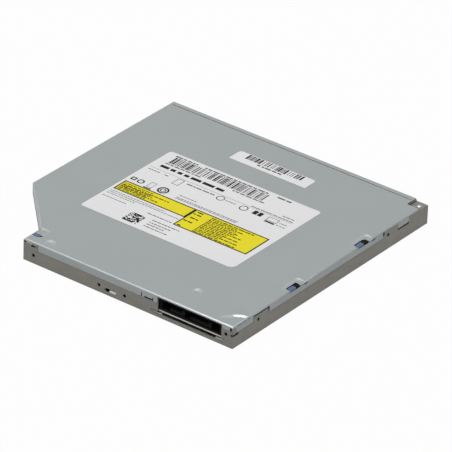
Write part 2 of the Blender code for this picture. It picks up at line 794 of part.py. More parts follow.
def wall_notches(side):
    # The flush wall is lowered behind each flange of the cover
    relief = FLANGE_RELIEF
    notches = []
    for first, last, foot in flanges_of(side):
        shelf = foot - JOGGLE_DROP
        notches.append(side_cut(side, first - relief, last + relief, shelf, COVER_TOP, CHASSIS_SHEET))
    return notches


def set_in_walls(side):
    # The upper wall behind each flange, joggled in by the cover's sheet
    sheet = CHASSIS_SHEET
    walls = []
    for first, last, foot in flanges_of(side):
        shelf = foot - JOGGLE_DROP - SEAT
        top = COVER_UNDER - FIT
        section = [(sheet / 2, shelf - sheet), (SET_IN + sheet, shelf - sheet), (SET_IN + sheet, top)]
        section += [(SET_IN, top), (SET_IN, shelf), (sheet / 2, shelf)]
        walls.append(folded_run(*SIDES[side], first - FLANGE_RELIEF / 2, last + FLANGE_RELIEF / 2, section))
    return walls


def wall_hole(side, outline):
    return prism(outline, -CUT_PAST, CHASSIS_SHEET + CUT_PAST, wall_plane(*SIDES[side]))


def case_shell():
    # The folded tray of sheet steel: a deep body, a raised wing on the right and an open front
    sheet = CHASSIS_SHEET
    past = FRONT - CUT_PAST
    shell = prism(case_outline(FRONT), 0, WALL_TOP)
    below_wing = block(STEP, RIGHT + CUT_PAST, past, EAR + CUT_PAST, -CUT_PAST, WING_BASE)
    upper = prism(inset(case_outline(past - sheet), sheet), WING_BASE + sheet, WALL_TOP + CUT_PAST)
    deep = prism(inset(rectangle(LEFT, STEP, past - sheet, REAR), sheet), sheet, WING_BASE + 2 * sheet)
    return cut(shell, below_wing, upper, deep)


def wall_cuts():
    cuts = [notch for side in SIDES for notch in wall_notches(side)]
    port = (along_side("rear", PORT_FIRST), along_side("rear", PORT_LAST))
    cuts.append(side_cut("rear", *port, PORT_SILL, COVER_TOP, CHASSIS_SHEET))
    length = side_length("left")
    tab_shelf = TAB_TOP - CHASSIS_SHEET / 2
    cuts.append(side_cut("left", length - TAB_DEPTH, length + CUT_PAST, tab_shelf, COVER_TOP, CHASSIS_SHEET))
    strip_end = STRIP_DEPTH + STRIP_OVERLAP + FIT
    strip_shelf = COVER_UNDER - STRIP_DROP - SEAT
    cuts.append(side_cut("right", -CUT_PAST, strip_end, strip_shelf, COVER_TOP, CHASSIS_SHEET))
    for side, holes in (("left", LEFT_HOLES), ("rear", REAR_HOLES)):
        for distance, height in holes:
            spot = circle(along_side(side, distance), height, SCREW_HOLE_RADIUS, SMALL)
            cuts.append(wall_hole(side, spot))
    cuts += [wall_hole("rear", rectangle(*slot)) for slot in (REAR_SLOT, EAR_LATCH_SLOT)]
    return cuts


def floor_cuts():
    sheet = CHASSIS_SHEET
    cuts = [cylinder(x, y, BOARD_SCREW_SHANK + FIT, sheet, BOARD_UNDER + FIT, SMALL) for x, y in STANDOFFS]
    cuts += [cylinder(x, y, STANDOFF_RADIUS, -sheet, STANDOFF_DIMPLE, SMALL) for x, y in STANDOFFS]
    cuts += [cylinder(x, y, TOOLING_RADIUS, -sheet, 2 * sheet, SMALL) for x, y in TOOLING_HOLES]
    for x in guide_screw_rows():
        for y in guide_screw_line():
            cuts.append(cylinder(x, y, GUIDE_SCREW_HEAD + FIT, -sheet, GUIDE_SCREW_HEAD_HEIGHT + FIT, SMALL))
            cuts.append(cylinder(x, y, GUIDE_SCREW_SHANK + FIT, 0, 2 * sheet, SMALL))
    cuts.append(prism(rounded(*FLOOR_PANEL, [FLOOR_PANEL_CORNER] * 4), -sheet, FLOOR_PANEL_DEPTH))
    return cuts


def spring_stop():
    left = EJECTOR_X - SPRING_STOP_HALF_WIDTH
    right = EJECTOR_X + SPRING_STOP_HALF_WIDTH / 2
    front = SPRING_REAR + FIT
    top = SPRING_HEIGHT + SPRING_RADIUS + SPRING_STOP_SHEET
    return block(left, right, front, front + SPRING_STOP_SHEET, CHASSIS_SHEET / 2, top)


def make_chassis(steel):
    sheet = CHASSIS_SHEET
    chassis = cut(case_shell(), *wall_cuts())
    walls = [wall for side in SIDES for wall in set_in_walls(side)]
    inner = LEFT + sheet / 2
    tab = block(inner, TAB_RIGHT, FRONT + SEAT, TAB_REAR - FLANGE_RELIEF, TAB_TOP - sheet, TAB_TOP - SEAT)
    posts = [cylinder(x, y, STANDOFF_RADIUS, sheet / 2, BOARD_UNDER - SEAT, SMALL) for x, y in STANDOFFS]
    chassis = fuse(chassis, *walls, tab, *posts, spring_stop())
    finish(cut(chassis, *floor_cuts()), "bottom_chassis", steel)


def guide_screw_rows():
    left_row = GUIDE_WEB + GUIDE_WALL + (GUIDE_DEPTH - GUIDE_WALL) / 2
    return (left_row, 2 * MIDDLE - left_row)


def guide_screw_line():
    return (REAR - GUIDE_SCREW_FROM_ENDS, FRONT + GUIDE_SCREW_FROM_ENDS)


def cap_shell():
    # A plate with a skirt all round, open towards the front
    foot = min(foot for flanges in FLANGES.values() for _, _, foot in flanges)
    past = FRONT - CUT_PAST
    inside = prism(inset(case_outline(past), COVER_SHEET), foot - CUT_PAST, COVER_UNDER)
    return cut(prism(case_outline(FRONT), foot, COVER_TOP), inside)


def on_outline(point):
    # True where a point lies on the outer edge of a side
    for start, end in SIDES.values():
        way = way_of(start, end)
        away = (point.x - start[0]) * way.y - (point.y - start[1]) * way.x
        if abs(away) < SEAT and point.z > COVER_TOP - SEAT:
            return True
    return False


def round_folds(shape):
    # The plate turns down into its flanges with a rounded fold
    bm = bmesh.new()
    bm.from_mesh(shape.data)
    folds = [edge for edge in bm.edges if all(on_outline(v.co) for v in edge.verts)]
    bmesh.ops.bevel(bm, geom=folds, offset=FOLD_RADIUS, segments=3, profile=0.5, affect="EDGES")
    bm.to_mesh(shape.data)
    bm.free()
    return shape


def flange_cuts(side):
    # Clears the skirt between the flanges, and below the feet of the shorter ones
    low = -CUT_PAST
    high = SKIRT_LIP
    reach = -CUT_PAST
    cuts = []
    for first, last, foot in flanges_of(side):
        cuts.append(side_cut(side, reach, first, low, high, COVER_SHEET))
        cuts.append(side_cut(side, first - SEAT, last + SEAT, low, foot, COVER_SHEET))
        reach = last
    cuts.append(side_cut(side, reach, side_length(side) + CUT_PAST, low, high, COVER_SHEET))
    return cuts


def tapered(low_outline, high_outline, low, high):
    # A solid between two outlines with the same number of points
    bm = bmesh.new()
    rings = []
    for outline, height in ((low_outline, low), (high_outline, high)):
        rings.append([bm.verts.new((x, y, height)) for x, y in outline])
    bm.faces.new(rings[0])
    bm.faces.new(rings[1])
    pairs = list(zip(*rings))
    for (below, above), (next_below, next_above) in zip(pairs, pairs[1:] + pairs[:1]):
        bm.faces.new((below, next_below, next_above, above))
    return new_shape(bm)


def dish(x, y):
    # A shallow dimple pressed into the cover, sloping to a flat floor
    slope = (DIMPLE_RADIUS - DIMPLE_FLOOR_RADIUS) / DIMPLE_DEPTH
    rise = CASE_HEIGHT - COVER_TOP
    rim = circle(x, y, DIMPLE_RADIUS + slope * rise, ROUND)
    floor = circle(x, y, DIMPLE_FLOOR_RADIUS, ROUND)
    return tapered(floor, rim, COVER_TOP - DIMPLE_DEPTH, CASE_HEIGHT)


def corner_hollow():
    # The low corner of the cover, with a sloping arc round it
    edge = FOLD_RADIUS + FIT
    outlines = []
    for radius in (CORNER_ARC_RADIUS, CORNER_ARC_RADIUS + CORNER_ARC_SLOPE):
        past_edge = math.degrees(math.asin(edge / radius))
        corner = arc(LEFT, REAR, radius, past_edge - 90, -past_edge, 12)
        outlines.append([(LEFT + edge, REAR - edge), *corner])
    return tapered(*outlines, COVER_TOP - CORNER_ARC_DEPTH, COVER_TOP + SEAT)


def hook_hollow(first, last):
    # The shallow hollow that runs out round an opening for a guide's hook
    left = LEFT + FOLD_RADIUS + FIT
    right = left + HOOK_HOLLOW_WIDTH
    run = HOOK_HOLLOW_RUN
    floor = [(left, first - FIT), (right - run, first - FIT), (right - run, last + FIT), (left, last + FIT)]
    rim = [(left, first - run), (right, first - FIT), (right, last + FIT), (left, last + run)]
    return tapered(floor, rim, COVER_TOP - HOOK_HOLLOW_DEPTH, COVER_TOP + SEAT)


def cover_openings():
    cuts = [dish(x, y) for x, y in DIMPLES]
    cuts.append(corner_hollow())
    cuts += [hook_hollow(first, last) for first, last in HOOK_STRETCHES]
    hook_left = LEFT + FOLD_RADIUS + 2 * FIT
    hook_right = hook_left + HOOK_OPENING_WIDTH
    for first, last in HOOK_STRETCHES:
        cuts.append(block(hook_left, hook_right, first, last, WALL_TOP, CASE_HEIGHT))
    slit_left = LEFT - CUT_PAST
    slit_right = LEFT + COVER_SHEET + SEAT
    slit_low = SKIRT_LIP - SLIT_HEIGHT
    for first, last in SLIT_STRETCHES:
        cuts.append(block(slit_left, slit_right, first, last, slit_low, SKIRT_LIP))
    cuts.append(block(*EAR_SLOT, WALL_TOP, CASE_HEIGHT))
    return cuts


def make_cover(steel):
    strip_rear = FRONT + STRIP_DEPTH
    past = FRONT - CUT_PAST
    cuts = [tool for side in SIDES for tool in flange_cuts(side)]
    cuts.append(block(LEFT - CUT_PAST, RIGHT + CUT_PAST, past, strip_rear, 0, CASE_HEIGHT))
    cuts.append(block(LEFT - CUT_PAST, TAB_RIGHT, past, TAB_REAR, 0, CASE_HEIGHT))
    cover = cut(cap_shell(), *cuts)
    strip_sides = (TAB_RIGHT + FLANGE_RELIEF, RIGHT - SEAT, FRONT, strip_rear + STRIP_OVERLAP)
    strip = block(*strip_sides, COVER_UNDER - STRIP_DROP, COVER_TOP - STRIP_DROP)
    under = COVER_UNDER - DIMPLE_DEPTH
    cup_top = COVER_UNDER + COVER_SHEET / 2
    cups = [cylinder(x, y, DIMPLE_RADIUS + COVER_SHEET, under, cup_top, SMALL) for x, y in DIMPLES]
    cover = cut(fuse(cover, strip, *cups), *cover_openings())
    finish(round_folds(cover), "top_cover", steel)


def make_labels(paper):
    low = COVER_TOP + LABEL_GAP
    label = rounded(*LABEL_SIDES, LABEL_CORNERS)
    finish(prism(label, low, CASE_HEIGHT), "cover_label", paper)
    small = rounded(*SMALL_LABEL_SIDES, SMALL_LABEL_CORNERS)
    finish(prism(small, low, CASE_HEIGHT), "small_label", paper)


def make_rivet(steel):
    low = TAB_TOP + SEAT
    profile = [(0, low), (RIVET_RADIUS, low), (RIVET_RADIUS, low + RIVET_HEIGHT / 2)]
    profile += [(RIVET_RADIUS / 2, low + RIVET_HEIGHT), (0, low + RIVET_HEIGHT)]
    spot = (LEFT + RIVET_FROM_LEFT, FRONT + RIVET_FROM_FRONT, 0)
    finish(turned(profile, SMALL), "tab_rivet", steel, at=spot)


# Guides and rails

def guide_section():
    low, high = GUIDE_BASE, GUIDE_TOP
    web = GUIDE_WEB + GUIDE_WALL
    lip = GUIDE_INNER - GUIDE_LIP
    lip_low = low + GUIDE_FLANGE + GUIDE_LIP_HEIGHT
    lip_high = high - GUIDE_FLANGE - GUIDE_LIP_HEIGHT
    outer = [(GUIDE_WEB, low), (GUIDE_INNER, low), (GUIDE_INNER, lip_low), (lip, lip_low)]
    inner = [(lip, low + GUIDE_FLANGE), (web, low + GUIDE_FLANGE), (web, high - GUIDE_FLANGE)]
    upper = [(lip, high - GUIDE_FLANGE), (lip, lip_high), (GUIDE_INNER, lip_high), (GUIDE_INNER, high)]
    return outer + inner + upper + [(GUIDE_WEB, high)]


def drilled_guide(shape, row):
    drills = [cylinder(row, y, GUIDE_SCREW_SHANK + FIT, 0, RAIL_LOW, SMALL) for y in guide_screw_line()]
    return cut(shape, *drills)


def make_guides(blue):
    rear = GUIDE_REAR
    left_row, right_row = guide_screw_rows()
    root = GUIDE_TOP - GUIDE_FLANGE / 2
    hook_edge = LEFT + HOOK_FROM_WALL
    left = prism(guide_section(), GUIDE_START, rear, along_y)
    hooks = []
    for first, last in HOOK_STRETCHES:
        sides = (hook_edge, hook_edge + HOOK_WIDTH, first + HOOK_SIDE_GAP, last - HOOK_SIDE_GAP)
        hooks.append(block(*sides, root, HOOK_TOP))
    finish(drilled_guide(fuse(left, *hooks), left_row), "left_guide", blue)
    right = prism(mirrored(guide_section()), GUIDE_START, rear, along_y)
    slot_front, slot_rear = EAR_SLOT[2:]
    inner = 2 * MIDDLE - GUIDE_INNER
    outer = 2 * MIDDLE - GUIDE_WEB
    tail = block(inner, outer, rear - GUIDE_LIP, slot_rear + GUIDE_LIP, GUIDE_BASE + SEAT, GUIDE_TOP - SEAT)
    ear_hook = block(inner, outer - SET_IN, slot_front + FIT, slot_rear - FIT, root, HOOK_TOP)
    finish(drilled_guide(fuse(right, tail, ear_hook), right_row), "right_guide", blue)


def make_guide_screws(steel):
    low = FIT
    head_high = low + GUIDE_SCREW_HEAD_HEIGHT
    first = None
    for row, x in enumerate(guide_screw_rows()):
        for place, y in enumerate(guide_screw_line()):
            name = f"guide_screw_{2 * row + place + 1}"
            if first is None:
                blank = screw(GUIDE_SCREW_HEAD, low, head_high, GUIDE_SCREW_SHANK, RAIL_LOW - RUNNING)
                first = finish(blank, name, steel, at=(x, y, 0))
            else:
                another(first, name, at=(x, y, 0))


def rail_section():
    sheet = RAIL_SHEET
    web = RAIL_WEB + sheet
    edge = RAIL_WEB + RAIL_DEPTH
    lower = [(RAIL_WEB, RAIL_LOW), (edge, RAIL_LOW), (edge, RAIL_LOW + sheet), (web, RAIL_LOW + sheet)]
    upper = [(web, RAIL_HIGH - sheet), (edge, RAIL_HIGH - sheet), (edge, RAIL_HIGH), (RAIL_WEB, RAIL_HIGH)]
    return lower + upper


def make_rails(steel):
    left_home = joint_home("left_rail_slide", (RAIL_WEB, RAIL_START, RAIL_LOW))
    right_home = joint_home("right_rail_slide", (2 * MIDDLE - RAIL_WEB, RAIL_START, RAIL_LOW))
    rear = RAIL_REAR
    finish(prism(rail_section(), RAIL_START, rear, along_y), "left_rail", steel, left_home)
    finish(prism(mirrored(rail_section()), RAIL_START, rear, along_y), "right_rail", steel, right_home)


# Tray

def tray_outline():
    radius = TRAY_RADIUS
    rear_angle = math.degrees(math.asin((TRAY_REAR - DISC_Y) / radius))
    left_angle = 180 - math.degrees(math.acos(-TRAY_LEFT / radius))
    outline = [(TRAY_LEFT, TRAY_FRONT), (TRAY_RIGHT, TRAY_FRONT)]
    outline += arc(0, DISC_Y, radius, 0, rear_angle, FINE // 4)
    outline += arc(0, DISC_Y, radius, 180 - rear_angle, left_angle, FINE // 4)
    return outline


def runner_section():
    skirt = SKIRT_EDGE + SKIRT_WIDTH
    root = (TRAY_UNDER + TRAY_FLOOR) / 2
    outer = [(RUNNER_EDGE, RUNNER_LOW), (skirt, RUNNER_LOW), (skirt, root), (SKIRT_EDGE, root)]
    return outer + [(SKIRT_EDGE, RUNNER_HIGH), (RUNNER_EDGE, RUNNER_HIGH)]


def front_hole(x, half_width, low, high, rear):
    gap = 2 * FIT
    return block(x - half_width - gap, x + half_width + gap, FRONT, rear, low - gap, high + gap)


def tray_cuts():
    above = TRAY_RIM + COVER_SHEET
    cuts = [cylinder(0, DISC_Y, RECESS_RADIUS, TRAY_FLOOR, above, FINE)]
    small_floor = TRAY_FLOOR - SMALL_RECESS_DEPTH
    cuts.append(cylinder(0, DISC_Y, SMALL_RECESS_RADIUS, small_floor, above, FINE))
    cuts.append(block(LEFT, TAB_RIGHT + TRAY_SHELF_GAP, FRONT, REAR, TRAY_SHELF, above))
    opening = (-OPENING_HALF_WIDTH, OPENING_HALF_WIDTH, OPENING_FRONT, OPENING_REAR)
    cuts.append(prism(rounded(*opening, [OPENING_CORNER] * 4), RUNNER_LOW, above))
    half = BEZEL_SLOT_WIDTH / 2
    slot_rear = TRAY_INNER_FRONT + FIT
    for x in BEZEL_SLOT_MIDDLES:
        cuts.append(block(x - half, x + half, FRONT, slot_rear, BEZEL_SLOT_LOW, BEZEL_SLOT_HIGH))
    left, right, front, rear = FRONT_BOARD
    pocket = (left - NEAR, right + NEAR, front - NEAR, rear + NEAR)
    cuts.append(block(*pocket, WING_BASE, FRONT_BOARD_TOP + FIT))
    low = FRONT_BOARD_TOP
    cuts.append(front_hole(SWITCH_X, PLUNGER_HALF_WIDTH, PLUNGER_LOW, PLUNGER_HIGH, SWITCH_REAR))
    cuts.append(front_hole(LAMP_X, LAMP_HALF_WIDTH, PLUNGER_LOW, PLUNGER_HIGH, LAMP_REAR + FIT))
    switch_sides = (SWITCH_X - SWITCH_HALF_WIDTH - FIT, SWITCH_X + SWITCH_HALF_WIDTH + FIT)
    cuts.append(block(*switch_sides, SWITCH_FRONT - FIT, SWITCH_REAR + FIT, low, SWITCH_TOP + FIT))
    lamp_sides = (LAMP_X - LAMP_HALF_WIDTH - 2 * FIT, LAMP_X + LAMP_HALF_WIDTH + 2 * FIT)
    cuts.append(block(*lamp_sides, SWITCH_FRONT - FIT, LAMP_REAR + FIT, low, PLUNGER_HIGH + FIT))
    hole = (RIGHT - RELEASE_HOLE_FROM_RIGHT, RELEASE_HOLE_HEIGHT, RELEASE_HOLE_RADIUS)
    cuts.append(cylinder(*hole, FRONT, SWITCH_REAR, SMALL, along_y))
    pan_screw_tip = PAN_UNDER + PAN_SCREW_LENGTH + FIT
    damper_screw_tip = TRAY_UNDER + DAMPER_SCREW_GRIP + FIT
    cuts += [cylinder(x, y, PAN_SCREW_SHANK + FIT, PAN_UNDER, pan_screw_tip, SMALL) for x, y in PAN_BOSSES]
    for x, y in DAMPER_PLACES:
        cuts.append(cylinder(x, y, DAMPER_SCREW_SHANK + FIT, FRAME_TOP, damper_screw_tip, SMALL))
    return cuts


def make_tray(black, home):
    plate = prism(tray_outline(), TRAY_UNDER, TRAY_RIM)
    skirt_right = 2 * MIDDLE - SKIRT_EDGE
    root = (TRAY_UNDER + TRAY_FLOOR) / 2
    front_wall = block(SKIRT_EDGE, skirt_right, TRAY_FRONT, TRAY_INNER_FRONT, TRAY_FRONT_FOOT, root)
    wall_middle = (TRAY_FRONT + TRAY_INNER_FRONT) / 2
    left_runner = prism(runner_section(), wall_middle, RUNNER_REAR, along_y)
    right_runner = prism(mirrored(runner_section()), wall_middle, RUNNER_REAR, along_y)
    boss_low = PAN_UNDER + PAN_SHEET + SEAT
    bosses = [cylinder(x, y, PAN_BOSS_RADIUS, boss_low, root, SMALL) for x, y in PAN_BOSSES]
    pin = cylinder(*LOCK_PIVOT, LOCK_PIN_RADIUS, LOCK_LOW, root, SMALL)
    tray = fuse(plate, front_wall, left_runner, right_runner, pin, *bosses)
    finish(cut(tray, *tray_cuts()), "tray_frame", black, home)


def make_pan(steel, home):
    outline = rounded(-PAN_HALF_WIDTH, PAN_HALF_WIDTH, PAN_FRONT, PAN_REAR, [OPENING_CORNER] * 4)
    holes = [circle(x, y, PAN_SCREW_SHANK + FIT, SMALL) for x, y in PAN_BOSSES]
    pan = prism(outline, PAN_UNDER, PAN_UNDER + PAN_SHEET, holes=holes)
    finish(pan, "tray_bottom_cover", steel, home)
    head_high = PAN_UNDER - SEAT
    head_low = head_high - PAN_SCREW_HEAD_HEIGHT
    blank = screw(PAN_SCREW_HEAD, head_low, head_high, PAN_SCREW_SHANK, PAN_UNDER + PAN_SCREW_LENGTH)
    spread(blank, "tray_cover_screw", steel, home, PAN_BOSSES)


def spread(shape, name, paint, home, spots):
    # One piece at each spot, all on the first one's mesh
    finish(shape, f"{name}_1", paint, home, (*spots[0], 0))
    for number, (x, y) in enumerate(spots[1:], 2):
        another(shape, f"{name}_{number}", home, (x, y, 0))


# Traverse with its rods, feed motor and dampers

def ear_piece(x, y):
    side = 1 if x > 0 else -1
    root = side * (FRAME_HALF_WIDTH - BOSS_DEPTH)
    arm = block(min(root, x), max(root, x), y - DAMPER_RADIUS, y + DAMPER_RADIUS, FRAME_UNDER, FRAME_TOP)
    return [arm, cylinder(x, y, DAMPER_RADIUS, FRAME_UNDER, FRAME_TOP, SMALL)]


def rod_boss(x, front):
    sides = (x - BOSS_HALF_WIDTH, x + BOSS_HALF_WIDTH)
    return block(*sides, front, front + BOSS_DEPTH, BOSS_UNDER, (FRAME_UNDER + FRAME_TOP) / 2)


def boss_fronts():
    front_gap = NEAR / 2
    return (WINDOW_FRONT - BOSS_DEPTH - front_gap, WINDOW_REAR)


def make_traverse_frame(steel, home):
    low, high = FRAME_UNDER, FRAME_TOP
    plate = block(-FRAME_HALF_WIDTH, FRAME_HALF_WIDTH, FRAME_FRONT, FRAME_REAR, low, high)
    ears = [piece for x, y in DAMPER_PLACES for piece in ear_piece(x, y)]
    ear_right = SCREW_X + BOSS_HALF_WIDTH
    ears.append(block(ROD_X, ear_right, FRAME_FRONT, MOTOR_REAR + BOSS_DEPTH, low, high))
    ears.append(block(ROD_X, ear_right, WINDOW_REAR - BOSS_DEPTH, WINDOW_REAR + BOSS_DEPTH, low, high))
    bosses = [rod_boss(x, front) for x in (-ROD_X, ROD_X) for front in boss_fronts()]
    bosses.append(rod_boss(SCREW_X, WINDOW_REAR))
    frame = fuse(plate, *ears, *bosses)
    high += FIT
    window = (-WINDOW_HALF_WIDTH, WINDOW_HALF_WIDTH, WINDOW_FRONT, WINDOW_REAR)
    cuts = [prism(rounded(*window, [BOSS_DEPTH] * 4), BOSS_UNDER, high)]
    cuts.append(cylinder(0, DISC_Y, TURNTABLE_HOLE, BOSS_UNDER, high, FINE // 2))
    cuts += [cylinder(x, y, DAMPER_NECK + FIT, BOSS_UNDER, high, SMALL) for x, y in DAMPER_PLACES]
    for x in (-ROD_X, ROD_X):
        cuts.append(cylinder(x, ROD_HEIGHT, ROD_RADIUS + FIT, FRONT, DISC_Y, SMALL, along_y))
    cuts.append(cylinder(SCREW_X, ROD_HEIGHT, SCREW_RADIUS + FIT, MOTOR_REAR, DISC_Y, SMALL, along_y))
    finish(cut(frame, *cuts), "traverse_frame", steel, home)


def make_traverse_cover(steel, home):
    gap = TRAVERSE_GAP
    sides = (-OPENING_HALF_WIDTH + gap, OPENING_HALF_WIDTH - gap, OPENING_FRONT + gap, OPENING_REAR - gap)
    slot = (-LENS_SLOT_HALF_WIDTH, LENS_SLOT_HALF_WIDTH, LENS_SLOT_FRONT, LENS_SLOT_REAR)
    holes = [circle(0, DISC_Y, TURNTABLE_HOLE, FINE // 2), rounded(*slot, [BOSS_DEPTH] * 4)]
    outline = rounded(*sides, [OPENING_CORNER - gap] * 4)
    cover = prism(outline, TRAVERSE_COVER_UNDER, TRAVERSE_COVER_TOP, holes=holes)
    finish(cover, "traverse_cover", steel, home)


def make_dampers(rubber, steel, home):
    neck_low = FRAME_UNDER - FIT
    neck_high = FRAME_TOP + FIT
    low = neck_low - DAMPER_FLANGE
    high = TRAY_UNDER - SEAT
    outer = DAMPER_RADIUS
    lower = [(DAMPER_BORE, low), (outer, low), (outer, neck_low), (DAMPER_NECK, neck_low)]
    upper = [(DAMPER_NECK, neck_high), (outer, neck_high), (outer, high), (DAMPER_BORE, high)]
    spread(turned(lower + upper, SMALL), "damper", rubber, home, DAMPER_PLACES)
    head_high = low - SEAT
    head_low = head_high - DAMPER_SCREW_HEAD_HEIGHT
    tip = TRAY_UNDER + DAMPER_SCREW_GRIP
    blank = screw(DAMPER_SCREW_HEAD, head_low, head_high, DAMPER_SCREW_SHANK, tip)
    spread(blank, "damper_screw", steel, home, DAMPER_PLACES)


def make_rods(chrome, home):
    front, rear_boss = boss_fronts()
    rear = rear_boss + BOSS_DEPTH
    left = cylinder(-ROD_X, ROD_HEIGHT, ROD_RADIUS, front, rear, SMALL, along_y)
    finish(left, "guide_rod_left", chrome, home)
    right = cylinder(ROD_X, ROD_HEIGHT, ROD_RADIUS, front, rear, SMALL, along_y)
    finish(right, "guide_rod_right", chrome, home)


def make_feed(steel, chrome, home):
    front = MOTOR_REAR - MOTOR_LENGTH
    motor = cylinder(SCREW_X, ROD_HEIGHT, MOTOR_RADIUS, front, MOTOR_REAR, ROUND, along_y)
    finish(motor, "feed_motor", steel, home)
    screw_home = joint_home("lead_screw_turn", (SCREW_X, MOTOR_REAR, ROD_HEIGHT), home)
    shaft = cylinder(SCREW_X, ROD_HEIGHT, SCREW_RADIUS, MOTOR_REAR + FIT, SCREW_REAR, SMALL, along_y)
    finish(shaft, "lead_screw", chrome, screw_home)


# Pickup

def make_pickup(zinc, white, home):
    low, high = PICKUP_UNDER, PICKUP_TOP
    body = block(-PICKUP_HALF_WIDTH, PICKUP_HALF_WIDTH, PICKUP_FRONT, PICKUP_REAR, low, high)
    holder_side = HOLDER_HALF_WIDTH + POCKET_GAP
    reach = HOLDER_FRONT_HALF + POCKET_GAP
    pocket_floor = HOLDER_UNDER - FOCUS_TRAVEL - FIT
    cuts = [cylinder(0, DISC_Y, SPINDLE_CLEARANCE, 0, high + FIT, FINE // 2)]
    cuts.append(block(-holder_side, holder_side, LENS_Y - reach, LENS_Y + reach, pocket_floor, high + FIT))
    cuts.append(cylinder(-ROD_X, ROD_HEIGHT, ROD_RADIUS + RUNNING, FRONT, REAR, SMALL, along_y))
    cuts.append(cylinder(ROD_X, ROD_HEIGHT, ROD_RADIUS + RUNNING, FRONT, REAR, SMALL, along_y))
    fork_low = ROD_HEIGHT - ROD_RADIUS - FORK_HEIGHT_GAP
    fork_high = ROD_HEIGHT + ROD_RADIUS + FORK_HEIGHT_GAP
    cuts.append(block(ROD_X, PICKUP_HALF_WIDTH + FIT, FRONT, REAR, fork_low, fork_high))
    finish(cut(body, *cuts), "pickup_body", zinc, home)
    finish(prism(rack_section(), RACK_FRONT, RACK_REAR, along_y), "rack_follower", white, home)


def rack_section():
    # A trough round the lead screw
    left = PICKUP_HALF_WIDTH + FIT
    right = left + RACK_REACH
    low, high, sheet = PICKUP_UNDER, RACK_WALL_TOP, RACK_SHEET
    outer = [(left, low), (right, low), (right, high), (right - sheet, high)]
    inner = [(right - sheet, low + sheet), (left + sheet, low + sheet), (left + sheet, high)]
    return outer + inner + [(left, high)]


def make_lens(black, glass, home):
    sides = (-HOLDER_HALF_WIDTH, HOLDER_HALF_WIDTH, LENS_Y - HOLDER_FRONT_HALF, LENS_Y + HOLDER_FRONT_HALF)
    holder = block(*sides, HOLDER_UNDER, HOLDER_TOP)
    seat_low = HOLDER_TOP - LENS_EDGE - SEAT
    seat = cylinder(0, LENS_Y, LENS_RADIUS + FIT, seat_low, LENS_TOP, ROUND)
    bore = cylinder(0, LENS_Y, LENS_BORE_RADIUS, HOLDER_UNDER - FIT, LENS_TOP, ROUND)
    finish(cut(holder, seat, bore), "lens_holder", black, home)
    low = HOLDER_TOP - LENS_EDGE
    dome_height = LENS_TOP - HOLDER_TOP
    dome = [(LENS_RADIUS * math.cos(a), HOLDER_TOP + dome_height * math.sin(a)) for a in quarter_turn(6)]
    finish(turned([(0, low), (LENS_RADIUS, low), *dome]), "objective_lens", glass, home, (0, LENS_Y, 0))


def quarter_turn(steps):
    return [math.pi / 2 * k / steps for k in range(steps + 1)]


# Spindle

def radial_plane(angle):
    # Maps (distance from the spindle's axis, height, sideways) to space
    turn = math.radians(angle)

    def place(radius, height, sideways):
        x = radius * math.cos(turn) - sideways * math.sin(turn)
        y = radius * math.sin(turn) + sideways * math.cos(turn)
        return Vector((x, y + DISC_Y, height))

    return place


def leg(angle):
    low = BASE_UNDER + SEAT
    high = BASE_UNDER + BASE_SHEET - SEAT
    top = FRAME_UNDER - SEAT
    section = [(BEARING_RADIUS, low), (LEG_OUT, low), (LEG_OUT, top)]
    section += [(LEG_IN, top), (LEG_IN, high), (BEARING_RADIUS, high)]
    return prism(section, -LEG_WIDTH / 2, LEG_WIDTH / 2, radial_plane(angle))


def make_spindle_base(steel, copper, home):
    top = BASE_UNDER + BASE_SHEET
    base = cylinder(0, DISC_Y, BASE_RADIUS, BASE_UNDER, top, FINE // 2)
    bearing = cylinder(0, DISC_Y, BEARING_RADIUS, BASE_UNDER + BASE_SHEET / 2, BEARING_TOP, ROUND)
    bore = cylinder(0, DISC_Y, SHAFT_RADIUS + FIT, top - SEAT, BEARING_TOP + FIT, ROUND)
    legs = [leg(angle) for angle in LEG_ANGLES]
    finish(cut(fuse(base, bearing, *legs), bore), "spindle_base", steel, home)
    outline = []
    pitch = 360 / STATOR_TEETH
    half = STATOR_TIP_SHARE * pitch
    for k in range(STATOR_TEETH):
        outline += arc(0, DISC_Y, STATOR_TIP, k * pitch - half, k * pitch + half, 3)
        outline += arc(0, DISC_Y, STATOR_YOKE, k * pitch + half, (k + 1) * pitch - half, 1)
    hole = circle(0, DISC_Y, BEARING_RADIUS + FIT)
    finish(prism(outline, top + FIT, STATOR_TOP, holes=[hole]), "spindle_stator", copper, home)


def make_rotor(steel, home):
    inner = ROTOR_RADIUS - ROTOR_WALL
    ceiling = ROTOR_TOP - ROTOR_SHEET
    shaft_low = BASE_UNDER + BASE_SHEET + RUNNING
    profile = [(0, shaft_low), (SHAFT_RADIUS, shaft_low), (SHAFT_RADIUS, ceiling), (inner, ceiling)]
    profile += [(inner, ROTOR_UNDER), (ROTOR_RADIUS, ROTOR_UNDER), (ROTOR_RADIUS, ROTOR_TOP), (0, ROTOR_TOP)]
    finish(turned(profile, FINE // 2), "spindle_rotor", steel, home, (0, DISC_Y, 0))


def radial_block(inner, outer, half_width, low, high, angle):
    turn = Matrix.Rotation(math.radians(angle), 3, "Z")
    plan = rectangle(inner, outer, -half_width, half_width)
    return prism(plan, low, high, lambda u, v, w: turn @ Vector((u, v, w)))


